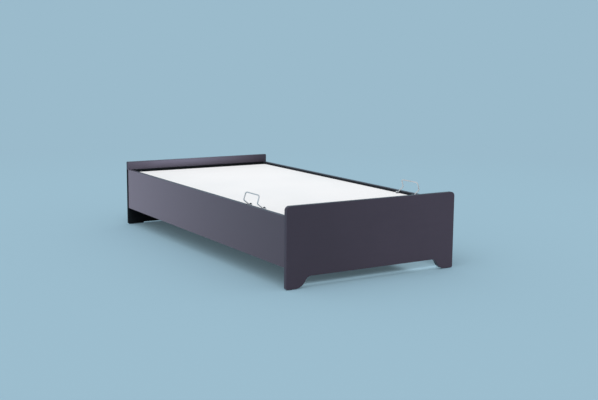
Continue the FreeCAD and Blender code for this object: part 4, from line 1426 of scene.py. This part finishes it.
@dataclass
class BoxFloor(SubAssembly):
    """The floor of the storage box: cleats, bearers, hardboard, its nails and the centre legs.

    The shares of a nail's head are steps across and up its profile.
    """

    cleat_x: float = 0.457
    cleat_y: float = 0.944
    bearer_y: float = 0.31767
    bearer_half: float = 0.016
    top: float = 0.126
    side_nails: int = 13
    side_margin: float = 0.03
    cross_nails: int = 6
    cross_margin: float = 0.06
    nail_length: float = 0.003
    nail_radius: float = 0.0026
    nail_height: float = 0.0007
    nail_sides: int = 14
    nail_shank_share: float = 0.5
    nail_head_shares: tuple[Pair, ...] = ((1.0, 0.0), (1.0, 0.5), (0.8, 1.0), (0.4, 0.8))
    collar_radius: float = 0.0205
    collar_low: float = 0.018
    collar_height: float = 0.012
    collar_round: float = 0.0008
    collar_core_share: float = 0.7
    rib_sides: int = 48
    rib_edge: float = 0.0003
    rib_depth_share: float = 0.96

    def dress(self, frame: Frame) -> None:
        """Dress the wood, the hardboard and the legs.

        Args:
            frame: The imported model.
        """
        dress(frame, PINE_ALONG, *nodes_of("floor_cleat_", Side))
        dress(frame, PINE_ACROSS, *nodes_of("floor_cleat_", End), *nodes_of("floor_bearer_", End))
        dress(frame, HARDBOARD, *nodes_of("floor_board_", End), "floor_board_middle")
        dress(frame, BLACK_MOULDED, *nodes_of("centre_leg_", End))

    def build(self) -> None:
        """Build the nails and the legs' threaded collars."""
        complete(repeated(self.nail(), self.nail_places()), "floor_nails", ZINC_PLATE, "bedstead")
        places = [Matrix.Translation((0, end.value * self.bearer_y, 0)) for end in End]
        complete(repeated(self.collar(), places), "leg_collars", GREY_MOULDED, "bedstead")

    def nail_places(self) -> list[Matrix]:
        """Give the places of the nails over the cleats and bearers.

        Returns:
            The matrix of each nail.
        """
        spots = []
        for index in range(self.side_nails):
            run = self.cleat_y - self.side_margin
            along = -self.cleat_y + self.side_margin + run * 2 * index / (self.side_nails - 1)
            spots += [(-self.cleat_x, along), (self.cleat_x, along)]
        for index in range(self.cross_nails):
            run = self.cleat_x - self.cross_margin
            across = -self.cleat_x + self.cross_margin + run * 2 * index / (self.cross_nails - 1)
            spots += [(across, -self.cleat_y), (across, self.cleat_y)]
            for end in End:
                middle = end.value * self.bearer_y
                spots += [(across, middle - self.bearer_half), (across, middle + self.bearer_half)]
        return [Matrix.Translation((*spot, self.top)) for spot in spots]

    def nail(self) -> Piece:
        """Build one nail with a low head dished in its middle.

        Returns:
            The nail.
        """
        shank = self.nail_radius * self.nail_shank_share
        head = [(self.nail_radius * out, self.nail_height * rise) for out, rise in self.nail_head_shares]
        return turned([(shank, -self.nail_length), (shank, 0.0), *head], self.nail_sides)

    def collar(self) -> Piece:
        """Build the ribbed collar by which a leg's height is set.

        Returns:
            The collar.
        """
        rim, soft, low = self.collar_radius, self.collar_round, self.collar_low
        high, core = low + self.collar_height, rim * self.collar_core_share
        collar = turned([(core, low), (rim - soft, low), (rim, low + soft), (rim, high - soft),
                         (rim - soft, high), (core, high)], self.rib_sides)
        step = 360 / self.rib_sides
        edit_faces(collar, lambda middle, normal: abs(normal.z) < 1 - FACING
                   and round(math.degrees(math.atan2(middle.y, middle.x)) / step - 0.5) % 2 == 0)
        bpy.ops.mesh.inset(thickness=self.rib_edge, use_individual=True)
        widen(self.rib_depth_share, (low + high) / 2)
        leave_edit()
        return collar


@dataclass
class LiftBase(SubAssembly):
    """The white board on its welded tube frame."""

    half_width: float = 0.458
    head: float = 0.913
    foot: float = -0.943
    low: float = 0.314
    high: float = 0.33
    colour: Colour = srgb(241, 241, 242)
    roughness: float = 0.5
    tube_inner: float = 0.429
    tube_outer: float = 0.454
    tube_bottom: float = 0.289
    tube_size: float = 0.025
    tube_head: float = 0.909
    tube_foot: float = -0.939
    cross_tubes: int = 3
    screw_shares: tuple[float, ...] = (0.09, 0.37, 0.63, 0.91)
    plate_places: Pair = (0.853, 0.571)
    plate_half: float = 0.04
    plate_beads: int = 5
    plate_bead_drop: float = 0.003
    bead_radius: float = 0.0021
    bead_step: float = 0.0021
    bead_share: float = 0.72
    screw: SocketScrew = SocketScrew(head_radius=0.0045, head_height=0.0025, shank_radius=0.00225, length=0.036,
                                     recess=Recess.CROSS, recess_radius=0.002)

    def dress(self, frame: Frame) -> None:
        """Dress the board, the tubes and their plugs.

        Args:
            frame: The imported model.
        """
        middle = (0.0, (self.head + self.foot) / 2, (self.low + self.high) / 2)
        half = (self.half_width, (self.head - self.foot) / 2, (self.high - self.low) / 2)
        dress(frame, Laminate("white melamine", self.colour, self.roughness, middle, half), "bed_board")
        dress(frame, BLACK_COAT, *nodes_of("side_tube_", Side), "head_tube", "foot_tube",
              *("cross_tube_" + str(index + 1) for index in range(self.cross_tubes)))
        dress(frame, BLACK_MOULDED, "tube_plugs")

    def build(self) -> None:
        """Build the screws under the board and the weld beads of the frame."""
        run = self.tube_head - self.tube_foot
        across = (self.tube_inner + self.tube_outer) / 2
        seats = [Seat((across, self.tube_foot + run * share, self.tube_bottom), (0.0, 0.0, -1.0))
                 for share in self.screw_shares]
        complete(self.screw.at(with_mirrored(seats, TO_OTHER_SIDE)), "board_cross_screws", ZINC_PLATE, "base",
                 ("board_screws",))
        spots = [Matrix.Translation((side.value * spot[0], spot[1], spot[2]))
                 for side in Side for spot in self.bead_places()]
        complete(scattered(self.bead(), spots), "frame_welds", BLACK_COAT, "base", angle=60.0)

    def tube_middles(self) -> list[float]:
        """Give the middle of the foot tube, of every cross tube and of the head tube along the bed.

        Returns:
            Their places on Y.
        """
        first = self.tube_foot + self.tube_size / 2
        last = self.tube_head - self.tube_size / 2
        gaps = self.cross_tubes + 1
        return [first + (last - first) * index / gaps for index in range(gaps + 1)]

    def bead_places(self) -> list[Point]:
        """Give the places of the right-hand weld beads.

        They go round three sides of each tube across the bed, and up both ends of the arm and the strut's bracket.

        Returns:
            The places.
        """
        spots = []
        half = self.tube_size / 2
        steps = int(self.tube_size / self.bead_step)
        for middle in self.tube_middles():
            for index in range(steps + 1):
                travel = index * self.bead_step
                spots.append((self.tube_inner, middle - half + travel, self.tube_bottom))
                if 0 < index < steps - 1:
                    height = self.tube_bottom + travel
                    spots += [(self.tube_inner, middle - half, height), (self.tube_inner, middle + half, height)]
        for middle in self.plate_places:
            for index in range(self.plate_beads):
                height = self.low - self.plate_bead_drop - index * self.bead_step
                spots += [(self.tube_outer, middle - self.plate_half, height),
                          (self.tube_outer, middle + self.plate_half, height)]
        return spots

    def bead(self) -> Piece:
        """Build one ripple of a weld, flattened along the bed.

        Returns:
            The ripple.
        """
        clear_selection()
        bpy.ops.mesh.primitive_ico_sphere_add(subdivisions=2, radius=self.bead_radius)
        ripple = settle(bpy.context.object)
        edit(ripple, action="SELECT")
        bpy.ops.transform.resize(value=(1.0, self.bead_share, 1.0), center_override=(0, 0, 0))
        leave_edit()
        return ripple


@dataclass
class Retainers(SubAssembly):
    """The wire mattress retainers, their spacers and black cap screws."""

    eye_x: float = 0.448
    eye_ends: Pair = (-0.5565, -0.6935)
    eye_top: float = 0.34
    cap: SocketScrew = SocketScrew(head_radius=0.006, head_height=0.005, shank_radius=0.0025, length=0.034,
                                   recess=Recess.HEXAGON, recess_radius=0.002)

    def dress(self, frame: Frame) -> None:
        """Dress the wires and spacers."""
        dress(frame, GREY_COAT, *nodes_of("retainer_", Side))
        dress(frame, BLACK_MOULDED, "retainer_spacers")

    def build(self) -> None:
        """Build the cap screws on the wires' eyes."""
        seats = [Seat((self.eye_x, end, self.eye_top), (0.0, 0.0, 1.0)) for end in self.eye_ends]
        complete(self.cap.at(with_mirrored(seats, TO_OTHER_SIDE)), "retainer_socket_caps", BLACK_PAINT, "base",
                 ("retainer_caps",))


@dataclass
class RestSeats(SubAssembly):
    """The angles that carry the lowered base, their screws and ribbed rubber pads."""

    inner: float = RAIL_INNER
    thickness: float = STEEL_THICKNESS
    middles: Pair = (-0.85, -0.15887)
    screw_reach: float = 0.013
    screw_height: float = 0.261
    pad_x: float = 0.4415
    pad_half: float = 0.015
    pad_low: float = 0.285
    pad_high: float = 0.2887
    pad_round: float = 0.00035
    rib_height: float = 0.0009
    strips: int = 9
    screw: SocketScrew = FLAT_SCREW

    def dress(self, frame: Frame) -> None:
        """Dress the angles."""
        for place in ("foot", "middle"):
            dress(frame, BLACK_COAT, *nodes_of("rest_bracket_" + place + "_", Side))

    def build(self) -> None:
        """Build the screws and pads."""
        across = self.inner - self.thickness
        seats = [Seat((across, middle + step, self.screw_height), (-1.0, 0.0, 0.0))
                 for middle in self.middles for step in (-self.screw_reach, self.screw_reach)]
        complete(self.screw.at(with_mirrored(seats, TO_OTHER_SIDE)), "rest_cross_screws", ZINC_PLATE, "bedstead",
                 ("rest_screws",))
        spots = [Matrix.Translation((side.value * self.pad_x, middle, 0))
                 for side in Side for middle in self.middles]
        complete(repeated(self.pad(), spots), "ribbed_rest_pads", RUBBER, "bedstead", ("rest_pads",))

    def pad(self) -> Piece:
        """Build one pad with ribs across its top.

        Returns:
            The pad.
        """
        half = self.pad_half
        pad = block((-half, -half, self.pad_low), (half, half, self.pad_high - self.rib_height))
        width = 2 * half / self.strips
        for index in range(1, self.strips):
            edit(pad, action="SELECT")
            bpy.ops.mesh.bisect(plane_co=(0, -half + index * width, 0), plane_no=(0, 1, 0))
            leave_edit()
        edit_faces(pad, lambda middle, normal: normal.z > FACING
                   and round((middle.y + half) / width - 0.5) % 2 == 0)
        extrude((0, 0, self.rib_height))
        leave_edit()
        return soften(pad, self.pad_round)


@dataclass
class LiftGear(SubAssembly):
    """The hinge plates and arms, their rivets and the two gas struts.

    A place in it is Y and Z. A strut is drawn along Z from its stud, and each profile is steps of a radius and a
    height: from the stud on the rod, and from the mouth or the end of the tube on the cylinder.
    """

    rail_inner: float = RAIL_INNER
    arm_outer: float = 0.458
    plane: float = 0.443
    pivot: Pair = (0.853, 0.274)
    stud: Pair = (0.8, 0.154)
    pin: Pair = (0.571, 0.274)
    plate_screws: tuple[Pair, ...] = ((0.865, 0.142), (0.782, 0.154), (0.829, 0.262), (0.865, 0.214))
    plate_thickness: float = STEEL_THICKNESS
    strut_length: float = 0.2592
    strut_slope: float = 28.12
    eye_thickness: float = 0.008
    eye_sides: int = 40
    eye_round: float = 0.0006
    rod_eye: float = 0.01
    stud_hole: float = 0.00405
    tube_eye: float = 0.011
    pin_hole: float = 0.0067
    tube_mouth: float = 0.03
    tube_neck: float = 0.018
    rod_profile: tuple[Pair, ...] = ((0.004, 0.012), (0.004, 0.2), (0.0032, 0.2004))
    collar_profile: tuple[Pair, ...] = (
        (0.0052, 0.0085), (0.0052, 0.0098), (0.0065, 0.0102), (0.0065, 0.0138), (0.0059, 0.0142),
        (0.0059, 0.0148), (0.0065, 0.0152), (0.0065, 0.0174), (0.0058, 0.018), (0.0045, 0.018))
    mouth_profile: tuple[Pair, ...] = (
        (0.0043, 0.0012), (0.0055, 0.0006), (0.0072, 0.0004), (0.008, 0.0), (0.0092, 0.0004), (0.01, 0.0018),
        (0.01, 0.0085), (0.0094, 0.0095), (0.0091, 0.0105), (0.0094, 0.0115), (0.01, 0.0125))
    end_profile: tuple[Pair, ...] = (
        (0.01, -0.0045), (0.0097, -0.0026), (0.0089, -0.001), (0.0078, -0.0002), (0.0068, 0.0), (0.005, 0.0))
    neck_profile: tuple[Pair, ...] = (
        (0.0045, 0.0002), (0.007, 0.0006), (0.007, 0.0054), (0.0062, 0.006), (0.0048, 0.0072), (0.0042, 0.0082))
    screw: SocketScrew = FLAT_SCREW
    pivot_rivet: ShoulderRivet = ShoulderRivet(shank_radius=0.006, flange_radius=0.01, shoulder=0.0037,
                                               bearing=0.0046)
    stud_rivet: ShoulderRivet = ShoulderRivet(shank_radius=0.004, flange_radius=0.009, shoulder=0.0147,
                                              bearing=0.0086)
    pin_rivet: ShoulderRivet = ShoulderRivet(shank_radius=0.004, flange_radius=0.009, shoulder=0.0067,
                                             bearing=0.0086)

    def dress(self, frame: Frame) -> None:
        """Dress the plates, arms and brackets."""
        for stem in ("hinge_plate_", "hinge_arm_", "strut_bracket_"):
            dress(frame, BLACK_COAT, *nodes_of(stem, Side))

    def build(self) -> None:
        """Build the screws, rivets and struts."""
        across = self.rail_inner - self.plate_thickness
        seats = [Seat((across, *spot), (-1.0, 0.0, 0.0)) for spot in self.plate_screws]
        complete(self.screw.at(with_mirrored(seats, TO_OTHER_SIDE)), "plate_cross_screws", ZINC_PLATE, "bedstead",
                 ("plate_screws",))
        for side in Side:
            self.rivets(side)
            self.strut(side)

    def rivets(self, side: Side) -> None:
        """Build the three rivets on one side.

        Args:
            side: The side.
        """
        inward = (-float(side.value), 0.0, 0.0)
        made = (("peened_pivot_", "pivot_rivet_", self.pivot_rivet, self.rail_inner, self.pivot, "bedstead"),
                ("peened_stud_", "strut_stud_", self.stud_rivet, self.rail_inner, self.stud, "bedstead"),
                ("peened_pin_", "strut_pin_", self.pin_rivet, self.arm_outer, self.pin, "base"))
        for name, node, rivet, across, spot, body in made:
            piece = repeated(rivet.model(), [aimed((side.value * across, *spot), inward)])
            complete(piece, name + side.word, ZINC_PLATE, body, (node + side.word,))

    def strut(self, side: Side) -> None:
        """Build one strut: its rod, its rod fitting, its cylinder and its upper fitting.

        Args:
            side: The side.
        """
        slope = Matrix.Rotation(math.pi / 2 - math.radians(self.strut_slope), 4, "X")
        places = [Matrix.Translation((side.value * self.plane, *self.stud)) @ slope]
        rod_body, cylinder_body = "rod_" + side.word, "cylinder_" + side.word
        tube_end = self.strut_length - self.tube_neck
        complete(repeated(turned(self.rod_profile), places), "strut_shaft_" + side.word, CHROME, rod_body,
                 ("strut_rod_" + side.word,))
        foot = joined([self.eye(self.rod_eye, self.stud_hole, 0.0), turned(self.collar_profile)])
        complete(repeated(foot, places), "strut_foot_" + side.word, BLACK_MOULDED, rod_body)
        tube = turned(raised(self.mouth_profile, self.tube_mouth) + raised(self.end_profile, tube_end))
        complete(repeated(tube, places), "strut_tube_" + side.word, BLACK_PAINT, cylinder_body,
                 ("strut_cylinder_" + side.word,))
        head = joined([self.eye(self.tube_eye, self.pin_hole, self.strut_length),
                       turned(raised(self.neck_profile, tube_end))])
        complete(repeated(head, places), "strut_head_" + side.word, BLACK_MOULDED, cylinder_body)

    def eye(self, radius: float, hole: float, height: float) -> Piece:
        """Build an eye across a strut, with a hole and softened rims.

        Args:
            radius: Its outer radius.
            hole: The radius of its hole.
            height: Its middle's height along the strut.

        Returns:
            The eye.
        """
        clear_selection()
        bpy.ops.mesh.primitive_cylinder_add(vertices=self.eye_sides, radius=radius, depth=self.eye_thickness,
                                            location=(0, 0, height), rotation=(0, math.pi / 2, 0))
        eye = settle(bpy.context.object)
        edit_faces(eye, lambda middle, normal: abs(normal.x) > FACING)
        bpy.ops.mesh.inset(thickness=radius - hole)
        bpy.ops.mesh.bridge_edge_loops()
        leave_edit()
        return soften(eye, self.eye_round)


# The studio

@dataclass(frozen=True)
class Softbox:
    """A plain rectangular lamp, flagged so that it lights one piece alone and shows in no reflection."""

    name: str
    place: Point
    target: Point
    width: float
    height: float
    power: float
    spread: float
    lit: str
    tint: Point = (1.0, 1.0, 1.0)

    def build(self, lit: Piece) -> None:
        """Add the lamp, aimed at its target.

        Args:
            lit: The object that it lights.
        """
        data = bpy.data.lights.new(self.name, "AREA")
        data.shape = "RECTANGLE"
        data.size = self.width
        data.size_y = self.height
        data.energy = self.power
        data.color = self.tint
        data.spread = math.radians(self.spread)
        lamp = bpy.data.objects.new(self.name, data)
        bpy.context.scene.collection.objects.link(lamp)
        lamp.matrix_world = aimed(self.place, Vector(self.place) - Vector(self.target))
        lamp.visible_camera = False
        lamp.visible_glossy = False
        reached = bpy.data.collections.new("reached by the " + self.name)
        reached.objects.link(lit)
        lamp.light_linking.receiver_collection = reached


LEFT_SOFTBOX = Softbox("softbox low at the left", place=(-2.5, 1.6, 0.15), target=(-0.488, 0.9, 0.15),
                       width=0.8, height=0.3, power=127.0, spread=180.0, lit="side_rail_left",
                       tint=(0.9, 1.13, 1.0))
TOP_SOFTBOX = Softbox("softbox over the base", place=(0.0, 0.1, 2.4), target=(0.0, 0.1, 0.3),
                      width=1.6, height=2.4, power=8.6, spread=120.0, lit="bed_board")
HEAD_STRIP = Softbox("strip for the headboard", place=(-0.5, -2.5, 0.42), target=(-0.12, 0.95, 0.37),
                     width=0.3, height=0.04, power=4.3, spread=20.0, lit="headboard", tint=(0.72, 1.03, 1.0))
RIGHT_SOFTBOX = Softbox("softbox at the right", place=(2.0, -3.2, 0.9), target=(0.35, -0.975, 0.2),
                        width=0.8, height=0.8, power=3.5, spread=60.0, lit="footboard")
FOOT_STRIP = Softbox("strip under the foot end", place=(0.05, -0.915, 0.03), target=(0.05, -0.915, 0.0),
                     width=0.9, height=0.03, power=0.055, spread=150.0, lit="floor")
SIDE_PATCH = Softbox("patch under the right side", place=(0.36, -0.84, 0.07), target=(0.36, -0.84, 0.0),
                     width=0.2, height=0.2, power=0.05, spread=100.0, lit="floor")


@dataclass
class Studio:
    """The pale floor, the even light round it and the camera. Its angles are in degrees."""

    backdrop: Colour = srgb(155, 187, 204)
    floor: Colour = (0.41, 0.63, 0.765, 1.0)
    dome: Colour = (0.56, 0.56, 0.56, 1.0)
    sun_power: float = 0.95
    sun_way: Point = (-0.5, -0.35, 1.0)
    sun_width: float = 70.0
    # The share of the backdrop's colour that glows near the bed as painted light in the shadow
    shade_lift: float = 0.15
    floor_half: float = 30.0
    floor_height: float = -0.0004
    fade_start: float = 2.2
    fade_end: float = 5.5
    camera_place: Point = (-2.7079, -4.7148, 1.1056)
    azimuth: float = 31.3913
    elevation: float = 8.9496
    roll: float = 0.4965
    lens: float = 58.851
    sensor: float = 36.0
    farthest: float = 100.0
    lamps: tuple[Softbox, ...] = (LEFT_SOFTBOX, TOP_SOFTBOX, HEAD_STRIP, RIGHT_SOFTBOX, FOOT_STRIP, SIDE_PATCH)

    def seen(self, board: NodeBoard) -> Socket:
        """Give the mask of the rays that see the backdrop as it is: those of the view and of reflections.

        Args:
            board: The board of the floor or the world.

        Returns:
            The mask's socket.
        """
        path = board.add("ShaderNodeLightPath")
        direct = board.maths("MAXIMUM", path.outputs["Is Camera Ray"], path.outputs["Is Glossy Ray"])
        return board.maths("MAXIMUM", direct, path.outputs["Is Transmission Ray"])

    def build_world(self) -> None:
        """Make the even light, behind which the backdrop's colour is seen."""
        world = bpy.data.worlds.new("even light")
        world.use_nodes = True
        board = NodeBoard(world.node_tree)
        board.tree.nodes.clear()
        light = board.add("ShaderNodeBackground", {"Color": self.dome, "Strength": 1.0})
        view = board.add("ShaderNodeBackground", {"Color": self.backdrop, "Strength": 1.0})
        mixed = board.add_in_order("ShaderNodeMixShader", (self.seen(board), light.outputs[0], view.outputs[0]))
        board.add("ShaderNodeOutputWorld", {"Surface": mixed.outputs[0]})
        bpy.context.scene.world = world

    def build_floor(self) -> Piece:
        """Lay the floor, which takes the bed's shadow, lifted near the bed by painted light, and fades into the
        backdrop further out.

        Returns:
            The floor.
        """
        clear_selection()
        bpy.ops.mesh.primitive_plane_add(size=2 * self.floor_half, location=(0, 0, self.floor_height))
        floor = settle(bpy.context.object)
        floor.name = "studio_floor"
        material = bpy.data.materials.new("studio floor")
        material.use_nodes = True
        board = NodeBoard(material.node_tree)
        board.tree.nodes.clear()
        matt = board.add("ShaderNodeBsdfDiffuse", {"Color": self.floor})
        plain = board.add("ShaderNodeEmission", {"Color": self.backdrop, "Strength": 1.0})
        distance = board.vector_number("LENGTH", board.place())
        # Painted light: near the bed a share of the backdrop's colour glows in the seen floor and lifts the bed's
        # shadow
        far = board.spread(distance, self.fade_start, self.fade_end, self.shade_lift, 1.0)
        mixed = board.add_in_order("ShaderNodeMixShader", (board.product(far, self.seen(board)), matt.outputs[0],
                                                           plain.outputs[0]))
        board.add("ShaderNodeOutputMaterial", {"Surface": mixed.outputs[0]})
        floor.data.materials.append(material)
        return floor

    def build_sun(self) -> None:
        """Add the wide soft light from above."""
        name = "soft light from above"
        data = bpy.data.lights.new(name, "SUN")
        data.energy = self.sun_power
        data.angle = math.radians(self.sun_width)
        lamp = bpy.data.objects.new(name, data)
        bpy.context.scene.collection.objects.link(lamp)
        lamp.matrix_world = aimed((0.0, 0.0, 0.0), self.sun_way)

    def build_camera(self) -> None:
        """Set the camera at the photograph's place, turn and lens."""
        azimuth, elevation, roll = (math.radians(angle) for angle in (self.azimuth, self.elevation, self.roll))
        ahead = Vector((math.sin(azimuth) * math.cos(elevation), math.cos(azimuth) * math.cos(elevation),
                        -math.sin(elevation)))
        level = Vector((math.cos(azimuth), -math.sin(azimuth), 0.0))
        upright = level.cross(ahead)
        right = level * math.cos(roll) + upright * math.sin(roll)
        up = upright * math.cos(roll) - level * math.sin(roll)
        name = "photo camera"
        data = bpy.data.cameras.new(name)
        data.lens = self.lens
        data.sensor_width = self.sensor
        data.sensor_fit = "HORIZONTAL"
        data.clip_end = self.farthest
        camera = bpy.data.objects.new(name, data)
        bpy.context.scene.collection.objects.link(camera)
        turn = Matrix((right, up, -ahead)).transposed().to_4x4()
        camera.matrix_world = Matrix.Translation(self.camera_place) @ turn
        bpy.context.scene.camera = camera

    def build(self, frame: Frame) -> None:
        """Build the whole studio.

        Args:
            frame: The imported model, whose nodes the lamps light.
        """
        bpy.context.scene.view_settings.view_transform = "Standard"
        self.build_world()
        self.build_sun()
        pieces = {**frame["nodes"], "floor": self.build_floor()}
        for lamp in self.lamps:
            lamp.build(pieces[lamp.lit])
        self.build_camera()
        log.info("studio built with %d lamps", len(self.lamps))


def main() -> None:
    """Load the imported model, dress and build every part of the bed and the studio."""
    logging.basicConfig(level=logging.INFO, format="%(message)s")
    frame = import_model()
    for part in (EndPanels(), SideRails(), CornerJoints(), BoxFloor(), LiftBase(), Retainers(), RestSeats(),
                 LiftGear()):
        part.dress(frame)
        part.build()
    Studio().build(frame)


if __name__ == "__main__":
    main()
